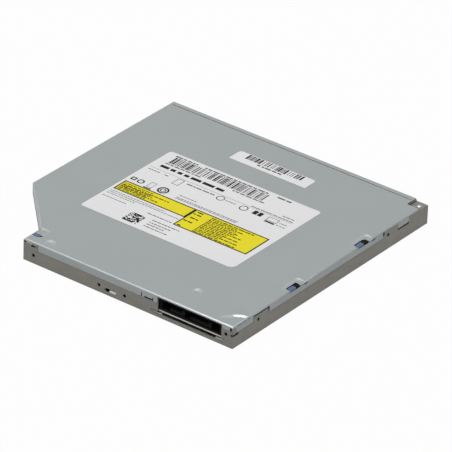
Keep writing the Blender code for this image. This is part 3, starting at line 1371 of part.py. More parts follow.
def make_turntable(black, rubber, home):
    low = ROTOR_TOP + SEAT
    neck = [(0, low), (TURNTABLE_NECK, low), (TURNTABLE_NECK, TURNTABLE_UNDER)]
    flange = [(TURNTABLE_RADIUS, TURNTABLE_UNDER), (TURNTABLE_RADIUS, TURNTABLE_TOP)]
    hub = [(HUB_RADIUS, TURNTABLE_TOP), (HUB_RADIUS, HUB_TOP - HUB_TAPER), (HUB_RADIUS - HUB_TAPER, HUB_TOP)]
    table = turned(neck + flange + hub + [(0, HUB_TOP)], FINE // 2)
    slot = (CLAW_HEEL - CLAW_TRAVEL - CLAW_SLOT_GAP, CLAW_TIP + FIT, CLAW_WIDTH / 2 + CLAW_SLOT_GAP)
    turns = [360 / CLAW_COUNT * k + 90 for k in range(CLAW_COUNT)]
    slots = [radial_block(*slot, CLAW_UNDER - FIT, HUB_TOP + FIT, turn) for turn in turns]
    finish(cut(table, *slots), "turntable", black, home, (0, DISC_Y, 0))
    pad_low = TURNTABLE_TOP + SEAT
    pad_high = pad_low + PAD_HEIGHT
    ring = [(PAD_INNER, pad_low), (PAD_OUTER, pad_low), (PAD_OUTER, pad_high), (PAD_INNER, pad_high)]
    finish(turned(ring, FINE // 2), "turntable_pad", rubber, home, (0, DISC_Y, 0))


def make_claws(grey, home):
    nose = CLAW_TIP - HUB_TAPER / 2
    middle = (CLAW_UNDER + CLAW_TOP) / 2
    section = [(CLAW_HEEL, CLAW_UNDER), (nose, CLAW_UNDER), (CLAW_TIP, middle)]
    section += [(nose, CLAW_TOP), (CLAW_HEEL, CLAW_TOP)]
    first = None
    for number in range(CLAW_COUNT):
        turn = 2 * math.pi / CLAW_COUNT * number
        spot = (0, DISC_Y, middle)
        claw_home = joint_home(f"claw_{number + 1}_slide", spot, home)
        name = f"claw_{number + 1}"
        if first is None:
            blank = prism([(r, z - middle) for r, z in section], -CLAW_WIDTH / 2, CLAW_WIDTH / 2, along_x)
            first = finish(blank, name, grey, claw_home, spot, turn)
        else:
            another(first, name, claw_home, spot, turn)


# Front board with the eject switch and the lamp

def make_front_board(green, grey, white, clear, home):
    board = block(*FRONT_BOARD, TRAY_UNDER, FRONT_BOARD_TOP)
    finish(board, "front_board", green, home)
    low = FRONT_BOARD_TOP + SEAT
    sides = (SWITCH_X - SWITCH_HALF_WIDTH, SWITCH_X + SWITCH_HALF_WIDTH)
    finish(block(*sides, SWITCH_FRONT, SWITCH_REAR, low, SWITCH_TOP), "eject_switch", grey, home)
    plunger_rear = SWITCH_FRONT - PLUNGER_TRAVEL - FIT
    plunger_front = FRONT + SEAT
    press_home = joint_home("eject_press", (SWITCH_X, plunger_front, (PLUNGER_LOW + PLUNGER_HIGH) / 2), home)
    sides = (SWITCH_X - PLUNGER_HALF_WIDTH, SWITCH_X + PLUNGER_HALF_WIDTH)
    plunger = block(*sides, plunger_front, plunger_rear, PLUNGER_LOW, PLUNGER_HIGH)
    finish(plunger, "eject_plunger", white, press_home)
    lamp_front = TRAY_FRONT + SEAT
    outline = [(lamp_front, PLUNGER_LOW), (SWITCH_FRONT, PLUNGER_LOW), (SWITCH_FRONT, low)]
    outline += [(LAMP_REAR, low), (LAMP_REAR, PLUNGER_HIGH), (lamp_front, PLUNGER_HIGH)]
    lamp = prism(outline, LAMP_X - LAMP_HALF_WIDTH, LAMP_X + LAMP_HALF_WIDTH, along_x)
    finish(lamp, "busy_lamp", clear, home)


# Lock

def make_lock(steel, zinc, home):
    x, y = LOCK_PIVOT
    half = LOCK_ARM_WIDTH / 2
    reach = y + LOCK_ARM_LENGTH
    low, high = LOCK_LOW, LOCK_HIGH
    hub = cylinder(x, y, LOCK_HUB_RADIUS, low, high, ROUND)
    arm = block(x - half, x + half, y, reach, low, high)
    hook = block(x, x + LOCK_HOOK_REACH, reach - LOCK_HOOK_WIDTH, reach, low, high)
    tail = block(x - LOCK_TAIL, x, y - half, y + half, low, high)
    bore = cylinder(x, y, LOCK_PIN_RADIUS + FIT, low - FIT, high + FIT, SMALL)
    turn_home = joint_home("lock_turn", (x, y, (low + high) / 2), home)
    finish(cut(fuse(hub, arm, hook, tail), bore), "lock_lever", steel, turn_home)
    sides = (MAGNET_RIGHT - MAGNET_WIDTH, MAGNET_RIGHT, MAGNET_FRONT, MAGNET_FRONT + MAGNET_DEPTH)
    finish(block(*sides, MAGNET_LOW, TRAY_UNDER - SEAT), "lock_magnet", zinc, home)


def make_post(steel):
    low = CHASSIS_SHEET + SEAT
    foot = low + LOCK_POST_FOOT_HEIGHT
    profile = [(0, low), (LOCK_POST_FOOT, low), (LOCK_POST_FOOT, foot), (LOCK_POST_RADIUS, foot)]
    profile += [(LOCK_POST_RADIUS, LOCK_POST_TOP), (0, LOCK_POST_TOP)]
    finish(turned(profile, SMALL), "lock_post", steel, at=(*LOCK_POST, 0))


# Main board, connector and cable

def make_board(green, steel):
    holes = [circle(x, y, BOARD_SCREW_SHANK + 2 * FIT, SMALL) for x, y in STANDOFFS]
    outline = rectangle(BOARD_LEFT, BOARD_RIGHT, BOARD_FRONT, BOARD_REAR)
    finish(prism(outline, BOARD_UNDER, BOARD_TOP, holes=holes), "main_board", green)
    head_low = BOARD_TOP + SEAT
    head_high = head_low + BOARD_SCREW_HEAD_HEIGHT
    tip = BOARD_TOP - BOARD_SCREW_LENGTH
    shank, head = BOARD_SCREW_SHANK, BOARD_SCREW_HEAD
    profile = [(0, tip), (shank, tip), (shank, head_low)]
    profile += [(head, head_low), (head, head_high), (0, head_high)]
    spread(turned(profile, SMALL), "board_screw", steel, None, STANDOFFS)


def make_chips(black):
    low = BOARD_TOP + SEAT
    controller = (LEFT + CONTROLLER_FROM_LEFT, REAR - CONTROLLER_FROM_REAR, CONTROLLER_SIZE / 2)
    driver = (STEP - DRIVER_FROM_STEP, REAR - DRIVER_FROM_REAR, DRIVER_SIZE / 2)
    chips = {
        "controller_chip": (controller, CONTROLLER_HEIGHT),
        "motor_driver_chip": (driver, DRIVER_HEIGHT),
    }
    for name, ((x, y, half), height) in chips.items():
        finish(block(x - half, x + half, y - half, y + half, low, low + height), name, black)


def make_socket(white):
    low = BOARD_TOP + SEAT
    front = SOCKET_FRONT
    rear = front + SOCKET_DEPTH
    slot_low = CABLE_ROOT_HEIGHT - CABLE_SHEET
    slot_high = CABLE_ROOT_HEIGHT + CABLE_SHEET
    socket = block(CABLE_LEFT - FIT, CABLE_RIGHT + FIT, front, rear, low, low + SOCKET_HEIGHT)
    mouth = block(CABLE_LEFT, CABLE_RIGHT, front - FIT, (front + rear) / 2, slot_low, slot_high)
    finish(cut(socket, mouth), "cable_socket", white)


def make_connector(black):
    low = BOARD_TOP + SEAT
    body = block(CONNECTOR_LEFT, CONNECTOR_RIGHT, CONNECTOR_FRONT, BOARD_REAR, low, CONNECTOR_TOP)
    wall = CONNECTOR_WALL
    back = CONNECTOR_FRONT + CONNECTOR_BACK
    mouth_sides = (CONNECTOR_LEFT + wall, CONNECTOR_RIGHT - wall, back, REAR)
    mouth = block(*mouth_sides, low + wall, CONNECTOR_TOP - wall)
    tongues = []
    for first, last in TONGUES:
        left = CONNECTOR_LEFT + first
        key_right = left + TONGUE_KEY
        tongues.append(block(left, CONNECTOR_LEFT + last, back - wall, BOARD_REAR, TONGUE_LOW, TONGUE_HIGH))
        tongues.append(block(left, key_right, back - wall, BOARD_REAR, TONGUE_LOW, TONGUE_HIGH + TONGUE_KEY))
    finish(fuse(cut(body, mouth), *tongues), "sata_connector", black)


def cable_line():
    # (distance, height) of the flat cable, from the board's socket through its U fold to the tray
    bend = CABLE_BEND
    drop_y = SOCKET_FRONT - 2 * bend
    line = [(SOCKET_FRONT + bend, CABLE_ROOT_HEIGHT)]
    line += arc(drop_y + bend, CABLE_ROOT_HEIGHT - bend, bend, 90, 180, 4)
    line += arc(drop_y - bend, CABLE_LOW + bend, bend, 360, 270, 4)
    fold_height = CABLE_LOW + CABLE_FOLD_RADIUS
    line += arc(CABLE_FOLD_Y, fold_height, CABLE_FOLD_RADIUS, 270, 90, 8)
    upper = CABLE_LOW + 2 * CABLE_FOLD_RADIUS
    top = TRAY_UNDER - SEAT - CABLE_SHEET / 2
    rise_y = CABLE_TRAY_END - 3 * bend
    line += [(rise_y, upper), (rise_y + 2 * bend, top), (CABLE_TRAY_END, top)]
    return line


def thickened(line, thickness):
    # Both sides of a line, as one closed outline
    sides = ([], [])
    ways = [(Vector(after) - Vector(before)).normalized() for before, after in zip(line, line[1:])]
    for point, before, after in zip(line, ways[:1] + ways, ways + ways[-1:]):
        way = (before + after).normalized()
        reach = thickness / 2 / max(way.dot(after), 0.5)
        for side, sign in zip(sides, (1, -1)):
            side.append((point[0] - sign * way.y * reach, point[1] + sign * way.x * reach))
    return sides[0] + sides[1][::-1]


def make_cable(film):
    outline = thickened(cable_line(), CABLE_SHEET)
    finish(prism(outline, CABLE_LEFT + FIT, CABLE_RIGHT - FIT, along_x), "tray_cable", film)


# Ejector

def helix_tube():
    # The wire of a coil spring, coiled about a line along Y
    bm = bmesh.new()
    sides = WIRE_SIDES
    count = SPRING_TURNS * SPRING_STEPS
    rings = []
    front = EJECTOR_REAR + FIT + SPRING_WIRE
    length = SPRING_LENGTH - 2 * SPRING_WIRE
    radius = SPRING_RADIUS - SPRING_WIRE
    for step in range(count + 1):
        turn = 2 * math.pi * step / SPRING_STEPS
        ring = []
        for side in range(sides):
            angle = 2 * math.pi * side / sides
            reach = radius + SPRING_WIRE * math.cos(angle)
            y = front + length * step / count + SPRING_WIRE * math.sin(angle)
            spot = (EJECTOR_X + reach * math.cos(turn), y, SPRING_HEIGHT + reach * math.sin(turn))
            ring.append(bm.verts.new(spot))
        rings.append(ring)
    for ring, following in zip(rings, rings[1:]):
        for side in range(sides):
            after = (side + 1) % sides
            bm.faces.new((ring[side], ring[after], following[after], following[side]))
    bm.faces.new(rings[0])
    bm.faces.new(rings[-1])
    return new_shape(bm)


def make_ejector(white, steel):
    home = joint_home("ejector_slide", (EJECTOR_X, EJECTOR_FRONT, SPRING_HEIGHT))
    low = CHASSIS_SHEET + FIT
    sides = (EJECTOR_X - EJECTOR_HALF_WIDTH, EJECTOR_X + EJECTOR_HALF_WIDTH)
    body = block(*sides, EJECTOR_FRONT, EJECTOR_REAR, low, EJECTOR_TOP)
    root = EJECTOR_REAR - FIT
    pin_end = EJECTOR_REAR + EJECTOR_PIN_LENGTH
    pin = cylinder(EJECTOR_X, SPRING_HEIGHT, EJECTOR_PIN, root, pin_end, SMALL, along_y)
    finish(fuse(body, pin), "ejector_pusher", white, home)
    finish(helix_tube(), "ejector_spring", steel)


def main():
    for item in list(bpy.data.objects):
        bpy.data.objects.remove(item)

    cover_steel = coat("zinc_coated_cover", 160, 166, 166, 0.42, 0.75)
    chassis_steel = coat("zinc_coated_chassis", 118, 117, 111, 0.48, 0.7)
    rail_steel = coat("rail_steel", 150, 152, 152, 0.35, 0.9)
    bright_steel = coat("bright_steel", 200, 201, 198, 0.25, 1.0)
    dark_steel = coat("dark_screw_steel", 70, 70, 72, 0.4, 0.9)
    zinc = coat("cast_zinc", 140, 140, 138, 0.5, 0.8)
    black = coat("black_plastic", 24, 24, 26, 0.55)
    dull_black = coat("connector_plastic", 10, 10, 12, 0.5)
    blue = coat("blue_guide_plastic", 70, 96, 132, 0.45)
    white = coat("white_plastic", 222, 220, 212, 0.45)
    grey = coat("switch_grey", 90, 92, 94, 0.5)
    rubber = coat("rubber", 34, 34, 34, 0.85)
    green = coat("board_green", 30, 78, 52, 0.4)
    copper = coat("stator_copper", 168, 96, 56, 0.45, 0.6)
    film = coat("cable_film", 214, 208, 190, 0.4)
    paper = coat("label_paper", 230, 230, 232, 0.5)
    clear = coat("lamp_plastic", 150, 214, 150, 0.2)
    glass = coat("lens_glass", 150, 130, 190, 0.08)

    make_chassis(chassis_steel)
    make_cover(cover_steel)
    make_labels(paper)
    make_rivet(bright_steel)
    make_guides(blue)
    make_guide_screws(dark_steel)
    make_rails(rail_steel)
    make_post(bright_steel)
    make_board(green, dark_steel)
    make_chips(dull_black)
    make_socket(white)
    make_connector(dull_black)
    make_cable(film)
    make_ejector(white, bright_steel)

    tray = joint_home("tray_slide", (0, TRAY_FRONT, TRAY_UNDER))
    make_tray(black, tray)
    make_pan(rail_steel, tray)
    make_traverse_frame(rail_steel, tray)
    make_traverse_cover(cover_steel, tray)
    make_dampers(rubber, dark_steel, tray)
    make_rods(bright_steel, tray)
    make_feed(zinc, bright_steel, tray)
    make_spindle_base(rail_steel, copper, tray)
    make_front_board(green, grey, white, clear, tray)
    make_lock(bright_steel, zinc, tray)

    spindle = joint_home("spindle_spin", (0, DISC_Y, ROTOR_UNDER), tray)
    make_rotor(bright_steel, spindle)
    make_turntable(black, rubber, spindle)
    make_claws(grey, spindle)

    pickup = joint_home("pickup_feed", (0, PICKUP_FRONT, ROD_HEIGHT), tray)
    make_pickup(zinc, white, pickup)
    lens = joint_home("lens_focus", (0, LENS_Y, HOLDER_UNDER), pickup)
    make_lens(black, glass, lens)


main()
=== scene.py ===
import bpy
import bmesh
import math
import random
from mathutils import Matrix, Vector


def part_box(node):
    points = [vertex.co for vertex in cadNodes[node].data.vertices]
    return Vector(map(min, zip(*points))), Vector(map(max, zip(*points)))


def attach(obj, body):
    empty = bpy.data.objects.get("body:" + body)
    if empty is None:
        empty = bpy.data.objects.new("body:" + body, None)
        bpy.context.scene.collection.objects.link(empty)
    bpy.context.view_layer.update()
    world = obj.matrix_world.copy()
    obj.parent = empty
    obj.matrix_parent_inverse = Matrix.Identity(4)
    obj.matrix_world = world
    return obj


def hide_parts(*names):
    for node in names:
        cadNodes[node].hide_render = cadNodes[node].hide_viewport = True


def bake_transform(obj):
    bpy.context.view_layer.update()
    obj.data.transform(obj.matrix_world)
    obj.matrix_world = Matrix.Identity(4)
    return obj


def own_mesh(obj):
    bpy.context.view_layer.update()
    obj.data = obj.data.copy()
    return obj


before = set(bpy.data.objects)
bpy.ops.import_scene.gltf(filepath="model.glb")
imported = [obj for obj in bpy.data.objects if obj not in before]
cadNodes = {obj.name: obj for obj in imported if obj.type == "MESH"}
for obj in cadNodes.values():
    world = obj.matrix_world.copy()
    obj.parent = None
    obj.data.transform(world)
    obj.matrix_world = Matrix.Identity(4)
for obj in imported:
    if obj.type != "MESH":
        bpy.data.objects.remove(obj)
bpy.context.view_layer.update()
mm = 0.001
metre = 1000
print("stage: frame loaded,", len(cadNodes), "nodes")


# Small tools: every size below is in millimetres

def boxOf(node):
    # The lowest and highest corner of a CAD node
    low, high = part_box(node)
    return [value / mm for value in low], [value / mm for value in high]


def middleOf(node):
    low, high = boxOf(node)
    return [(a + b) / 2 for a, b in zip(low, high)]


def turnTo(axis):
    # A shape is drawn flat with its height as third value, then laid along this axis
    if axis == "x":
        return lambda a, b, h: (h, a, b)
    if axis == "y":
        return lambda a, b, h: (b, h, a)
    return lambda a, b, h: (a, b, h)


def roundPoints(radius, steps=24, x=0.0, y=0.0, start=0.0):
    turns = [math.radians(start + 360 * step / steps) for step in range(steps)]
    return [(x + radius * math.cos(turn), y + radius * math.sin(turn)) for turn in turns]


def rectPoints(left, right, front, rear, corner=0.0, steps=4):
    if corner <= 0:
        return [(left, front), (right, front), (right, rear), (left, rear)]
    points = []
    centres = (
        (right - corner, rear - corner),
        (left + corner, rear - corner),
        (left + corner, front + corner),
        (right - corner, front + corner),
    )
    for quarter, (x, y) in enumerate(centres):
        for step in range(steps + 1):
            turn = math.radians(90 * (quarter + step / steps))
            points.append((x + corner * math.cos(turn), y + corner * math.sin(turn)))
    return points


def addLoft(bm, rings, finish=0, closed=False):
    # Skins rings with the same number of points, and closes the ends or joins last to first
    made = [[bm.verts.new(point) for point in ring] for ring in rings]
    count = len(made[0])
    faces = []
    pairs = list(zip(made, made[1:]))
    if closed:
        pairs.append((made[-1], made[0]))
    for below, above in pairs:
        for step in range(count):
            after = (step + 1) % count
            faces.append(bm.faces.new((below[step], below[after], above[after], above[step])))
    if not closed:
        faces.append(bm.faces.new(made[0]))
        faces.append(bm.faces.new(made[-1]))
    for face in faces:
        face.material_index = finish
    return faces


def addPrism(bm, outline, low, high, finish=0, axis="z", chamfer=0.0):
    # An outline between two heights, its rims broken by a small chamfer
    place = turnTo(axis)
    x = sum(point[0] for point in outline) / len(outline)
    y = sum(point[1] for point in outline) / len(outline)
    steps = [(low, 0.0), (high, 0.0)]
    if chamfer > 0:
        steps = [(low, chamfer), (low + chamfer, 0.0), (high - chamfer, 0.0), (high, chamfer)]
    rings = []
    for height, inset in steps:
        ring = []
        for a, b in outline:
            across = math.copysign(min(inset, abs(a - x)), a - x)
            along = math.copysign(min(inset, abs(b - y)), b - y)
            ring.append(place(a - across, b - along, height))
        rings.append(ring)
    return addLoft(bm, rings, finish)


def addBlock(bm, low, high, finish=0, corner=0.0, chamfer=0.0, axis="z"):
    outline = rectPoints(low[0], high[0], low[1], high[1], corner)
    return addPrism(bm, outline, low[2], high[2], finish, axis, chamfer)


def addPad(bm, x, y, reach, levels, finish=0, corner=0.0, chamfer=0.0):
    # A block round a middle point, this far to each side
    low = (x - reach[0], y - reach[1], levels[0])
    high = (x + reach[0], y + reach[1], levels[1])
    return addBlock(bm, low, high, finish, corner, chamfer)


def addTurned(bm, profile, x=0.0, y=0.0, finish=0, axis="z", steps=32, closed=False):
    # A profile of (radius, height) spun round its axis
    place = turnTo(axis)
    rings = []
    for radius, height in profile:
        rings.append([place(a, b, height) for a, b in roundPoints(max(radius, 0.01), steps, x, y)])
    return addLoft(bm, rings, finish, closed)


def addTube(bm, line, radius, finish=0, steps=10, closed=False):
    # A round wire along a line
    points = [Vector(point) for point in line]
    rings = []
    side = Vector((0, 0, 1))
    for place, point in enumerate(points):
        before = points[place - 1] if place or closed else point
        after = points[(place + 1) % len(points)] if place + 1 < len(points) or closed else point
        way = (after - before).normalized()
        if abs(way.dot(side)) > 0.95:
            side = Vector((0, 1, 0)) if abs(way.y) < 0.9 else Vector((1, 0, 0))
        across = way.cross(side).normalized()
        side = across.cross(way).normalized()
        ring = []
        for a, b in roundPoints(radius, steps):
            ring.append(point + across * a + side * b)
        rings.append(ring)
    return addLoft(bm, rings, finish, closed)


def newPiece(name, bm, finishes, body, stands=(), smooth=35):
    # Turns a finished bmesh, drawn in millimetres, into a piece that rides on a body
    bmesh.ops.recalc_face_normals(bm, faces=bm.faces[:])
    bmesh.ops.scale(bm, vec=(mm, mm, mm), verts=bm.verts[:])
    mesh = bpy.data.meshes.new(name)
    bm.to_mesh(mesh)
    bm.free()
    mesh.shade_smooth()
    mesh.set_sharp_from_angle(angle=math.radians(smooth))
    piece = bpy.data.objects.new(name, mesh)
    bpy.context.scene.collection.objects.link(piece)
    for finish in finishes:
        mesh.materials.append(finish)
    if body:
        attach(piece, body)
    if stands:
        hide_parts(*stands)
    return piece


def coatNode(finish, *names):
    # Gives CAD nodes a better finish in place of their plain one
    for name in names:
        for slot in cadNodes[name].material_slots:
            slot.material = finish


# Finishes

def tone(color):
    # A colour as the screen shows it, 0 to 255, as linear light
    shares = [value / 255 for value in color]
    linear = [s / 12.92 if s <= 0.04045 else ((s + 0.055) / 1.055) ** 2.4 for s in shares]
    return (*linear, 1.0)


def addNode(tree, kind, sockets=None, **options):
    made = tree.nodes.new("ShaderNode" + kind)
    for option, value in options.items():
        setattr(made, option, value)
    for socket, value in (sockets or {}).items():
        if isinstance(value, bpy.types.NodeSocket):
            tree.links.new(value, made.inputs[socket])
        else:
            made.inputs[socket].default_value = value
    return made


def calc(tree, operation, first, second=0.0):
    # One sum in a finish's nodes
    return addNode(tree, "Math", {0: first, 1: second}, operation=operation).outputs[0]


def bumpOf(tree, height, rise, normal):
    return addNode(tree, "Bump", {"Height": height, "Distance": rise * mm, "Normal": normal}).outputs[0]


def noiseOf(tree, place, size, stretch=(1, 1, 1), detail=3.0):
    # Noise with features about this many millimetres across
    stretched = addNode(tree, "VectorMath", {0: place, 1: stretch}, operation="MULTIPLY")
    sockets = {"Vector": stretched.outputs[0], "Scale": metre / size, "Detail": detail}
    return addNode(tree, "TexNoise", sockets).outputs[0]


def spread(tree, value, low, high, fromLow=0.3, fromHigh=0.7):
    # Stretches a value from one range to another
    sockets = {"Value": value, "From Min": fromLow, "From Max": fromHigh, "To Min": low, "To Max": high}
    return addNode(tree, "MapRange", sockets).outputs[0]


def vary(tree, color, value, share):
    # Lightens and darkens a colour by a share
    strength = spread(tree, value, 1 - share, 1 + share)
    return addNode(tree, "HueSaturation", {"Value": strength, "Color": color}).outputs[0]


def blendTo(tree, factor, first, second):
    sockets = {"Factor": factor, 6: first, 7: second}
    return addNode(tree, "Mix", sockets, data_type="RGBA").outputs[2]


finishStyle = {
    "brushWays": {"x": (0.03, 1, 1), "y": (1, 0.03, 1), "z": (1, 1, 0.03)},
    "brushShade": 0.06,
    "edge": 0.08,
    "edgeSamples": 4,
    # How far the soft normal leans from the true one where an edge is lightened, as wear and, on the cover
    # sheet, as a painted highlight, and the size of its patches
    "edgeWearAndHighlightLean": (0.75, 0.995),
    "edgeWearAndHighlightPatch": 1.6,
}


def makeFinish(name, look):
    # color, roughness and metallic, then: mottle, speck, spangle (size, share), grain (size, height),
    # brush (way, size, height), smudge (size, share), edgeWearAndHighlight (radius, color, share), edge
    # (radius)
    style = finishStyle
    material = bpy.data.materials.new(name)
    material.use_nodes = True
    tree = material.node_tree
    shader = tree.nodes["Principled BSDF"]
    place = addNode(tree, "TexCoord").outputs["Object"]
    color = tone(look["color"])
    for kind in ("mottle", "speck"):
        if kind in look:
            size, share = look[kind]
            color = vary(tree, color, noiseOf(tree, place, size), share)
    if "spangle" in look:
        size, share = look["spangle"]
        cells = addNode(tree, "TexVoronoi", {"Vector": place, "Scale": metre / size})
        picked = addNode(tree, "SeparateColor", {0: cells.outputs["Color"]}).outputs[0]
        color = vary(tree, color, picked, share)
    height = None
    if "pattern" in look:
        color, height = look["pattern"](tree, place, color)
    samples = style["edgeSamples"]
    edge = look.get("edge", style["edge"])
    normal = addNode(tree, "Bevel", {"Radius": edge * mm}, samples=samples).outputs[0]
    # Convex edges lighten towards a colour in patches: edge wear on most finishes, and a painted highlight on
    # the cover sheet's folds and rims
    if "edgeWearAndHighlight" in look:
        radius, paleEdgeColor, share = look["edgeWearAndHighlight"]
        soft = addNode(tree, "Bevel", {"Radius": radius * mm}, samples=samples).outputs[0]
        true = addNode(tree, "NewGeometry").outputs["True Normal"]
        flat = addNode(tree, "VectorMath", {0: soft, 1: true}, operation="DOT_PRODUCT").outputs["Value"]
        rim = spread(tree, flat, share, 0.0, *style["edgeWearAndHighlightLean"])
        patchy = calc(tree, "MULTIPLY", rim, noiseOf(tree, place, style["edgeWearAndHighlightPatch"]))
        color = blendTo(tree, patchy, color, tone(paleEdgeColor))
    if "grain" in look:
        size, rise = look["grain"]
        normal = bumpOf(tree, noiseOf(tree, place, size), rise, normal)
    if "brush" in look:
        way, size, rise = look["brush"]
        lines = noiseOf(tree, place, size, style["brushWays"][way], 2.0)
        color = vary(tree, color, lines, style["brushShade"])
        normal = bumpOf(tree, lines, rise, normal)
    if height is not None:
        normal = bumpOf(tree, height, look["patternRise"], normal)
    tree.links.new(color, shader.inputs["Base Color"])
    tree.links.new(normal, shader.inputs["Normal"])
    shader.inputs["Metallic"].default_value = look.get("metallic", 0.0)
    if "smudge" in look:
        size, share = look["smudge"]
        low, high = look["roughness"] - share, look["roughness"] + share
        tree.links.new(spread(tree, noiseOf(tree, place, size), low, high), shader.inputs["Roughness"])
    else:
        shader.inputs["Roughness"].default_value = look["roughness"]
    for socket, value in look.get("constants", {}).items():
        shader.inputs[socket].default_value = value
    return material


# The near-white edge colour (226, 231, 232) of the cover sheet is a painted highlight along its folds and
# rims
coverFinish = makeFinish("coverSheet", dict(
    color=(160, 166, 166), metallic=0.3, roughness=0.4, mottle=(26, 0.016), speck=(0.35, 0.018),
    smudge=(9, 0.04), grain=(0.22, 0.0016), edge=0.14, edgeWearAndHighlight=(0.45, (226, 231, 232), 0.8),
))
# Near-white copy of the cover sheet for the rear fold's faces: a painted highlight along the fold
foldHighlightFinish = makeFinish("foldSheetHighlight", dict(
    color=(216, 221, 222), metallic=0.3, roughness=0.38, mottle=(8, 0.03), speck=(0.3, 0.02),
    smudge=(2, 0.04), grain=(0.2, 0.001), edge=0.15,
))
# Lighter copies of the cover sheet for the slopes of pressed hollows: their gloss belongs to the sheet, and
# their lighter colour is a painted highlight
pressedSheetLit = dict(
    color=(172, 178, 178), metallic=0.55, roughness=0.3, mottle=(3, 0.03), speck=(0.3, 0.02),
    smudge=(2, 0.04), grain=(0.2, 0.001), edge=0.2,
)
pressedHighlightFinish = makeFinish("pressedSheetLit", pressedSheetLit)
softHighlightFinish = makeFinish("softSheetLit", dict(pressedSheetLit, metallic=0.3, roughness=0.46))
chassisFinish = makeFinish("chassisSheet", dict(
    color=(132, 129, 121), metallic=0.28, roughness=0.44, mottle=(12, 0.03), spangle=(1.7, 0.035),
    speck=(0.3, 0.03), smudge=(4, 0.07), grain=(0.25, 0.002), edge=0.12, edgeWearAndHighlight=(0.2, (190, 189, 184), 0.7),
))
rolledFinish = makeFinish("rolledSteel", dict(
    color=(168, 170, 170), metallic=0.8, roughness=0.34, mottle=(9, 0.04), speck=(0.3, 0.03),
    smudge=(3, 0.08), brush=("y", 0.14, 0.002), edge=0.08, edgeWearAndHighlight=(0.15, (214, 215, 214), 0.6),
))
brightFinish = makeFinish("polishedSteel", dict(
    color=(205, 206, 203), metallic=0.95, roughness=0.2, mottle=(4, 0.04), smudge=(1.2, 0.07),
    grain=(0.12, 0.0006), edge=0.05,
))
darkFinish = makeFinish("darkPlate", dict(
    color=(66, 66, 69), metallic=0.75, roughness=0.36, mottle=(1.5, 0.1), speck=(0.14, 0.08),
    smudge=(0.6, 0.1), grain=(0.1, 0.001), edge=0.04, edgeWearAndHighlight=(0.08, (150, 150, 150), 0.8),
))
castFinish = makeFinish("castZinc", dict(
    color=(146, 147, 146), metallic=0.55, roughness=0.5, mottle=(3, 0.06), speck=(0.3, 0.06),
    smudge=(1.5, 0.08), grain=(0.28, 0.006), edge=0.1, edgeWearAndHighlight=(0.14, (196, 197, 196), 0.6),
))
blackFinish = makeFinish("blackMoulding", dict(
    color=(30, 30, 32), roughness=0.52, mottle=(7, 0.08), speck=(0.25, 0.1), smudge=(5, 0.08),
    grain=(0.2, 0.004), edge=0.1, edgeWearAndHighlight=(0.12, (74, 74, 77), 0.45),
))
connectorFinish = makeFinish("connectorMoulding", dict(
    color=(7, 7, 8), roughness=0.75, mottle=(3, 0.1), speck=(0.2, 0.1), smudge=(2, 0.06),
    grain=(0.12, 0.002), edge=0.06, constants={"Specular IOR Level": 0.12},
))
blueFinish = makeFinish("blueMoulding", dict(
    color=(70, 98, 138), roughness=0.4, mottle=(6, 0.05), speck=(0.3, 0.05), smudge=(3, 0.07),
    grain=(0.24, 0.002), edge=0.1, edgeWearAndHighlight=(0.12, (122, 148, 182), 0.5),
    constants={"Subsurface Weight": 0.04, "Subsurface Scale": 0.0008},
))
whiteFinish = makeFinish("whiteMoulding", dict(
    color=(222, 220, 211), roughness=0.42, mottle=(4, 0.03), speck=(0.25, 0.03), smudge=(2, 0.06),
    grain=(0.2, 0.002), edge=0.08, constants={"Subsurface Weight": 0.08, "Subsurface Scale": 0.0008},
))
greyFinish = makeFinish("greyMoulding", dict(
    color=(92, 94, 97), roughness=0.45, mottle=(2, 0.05), speck=(0.2, 0.06), smudge=(1, 0.07),
    grain=(0.14, 0.002), edge=0.06, edgeWearAndHighlight=(0.08, (138, 140, 142), 0.5),
))
rubberFinish = makeFinish("softRubber", dict(
    color=(37, 37, 38), roughness=0.78, mottle=(2, 0.09), speck=(0.2, 0.12), smudge=(1, 0.06),
    grain=(0.16, 0.006), edge=0.1, constants={"Sheen Weight": 0.15},
))
labelFinish = makeFinish("labelFilm", dict(
    color=(250, 250, 251), roughness=0.42, mottle=(16, 0.012), speck=(0.5, 0.012), smudge=(7, 0.05),
    grain=(0.35, 0.0008), edge=0.03,
))
plainInk = dict(roughness=0.6, smudge=(2, 0.05), edge=0.01, constants={"Specular IOR Level": 0.1})
darkInkFinish = makeFinish("darkInk", dict(
    plainInk, color=(14, 14, 16), mottle=(3, 0.08), speck=(0.15, 0.12),
))
greyInkFinish = makeFinish("greyInk", dict(
    plainInk, color=(104, 105, 110), mottle=(3, 0.05), speck=(0.15, 0.07),
))
yellowFinish = makeFinish("yellowInk", dict(
    color=(255, 240, 30), roughness=0.5, mottle=(9, 0.02), speck=(0.3, 0.02), smudge=(4, 0.05), edge=0.01,
    constants={"Specular IOR Level": 0.2},
))
oliveFinish = makeFinish("oliveInk", dict(
    plainInk, color=(66, 60, 10), mottle=(3, 0.07), speck=(0.15, 0.1),
))
copperFinish = makeFinish("copperWire", dict(
    color=(184, 104, 62), metallic=0.85, roughness=0.3, mottle=(1.5, 0.08), smudge=(0.7, 0.08),
    grain=(0.1, 0.001), edge=0.03,
))
goldFinish = makeFinish("goldPlate", dict(
    color=(214, 176, 96), metallic=0.95, roughness=0.27, mottle=(1.2, 0.05), smudge=(0.5, 0.07),
    grain=(0.08, 0.0005), edge=0.03,
))
solderFinish = makeFinish("tinSolder", dict(
    color=(198, 200, 203), metallic=0.9, roughness=0.3, mottle=(0.8, 0.06), smudge=(0.4, 0.08),
    grain=(0.1, 0.001), edge=0.03,
))
ceramicFinish = makeFinish("ceramicBody", dict(
    color=(154, 122, 92), roughness=0.55, mottle=(0.7, 0.08), speck=(0.1, 0.08), smudge=(0.5, 0.06),
    grain=(0.08, 0.001), edge=0.03,
))
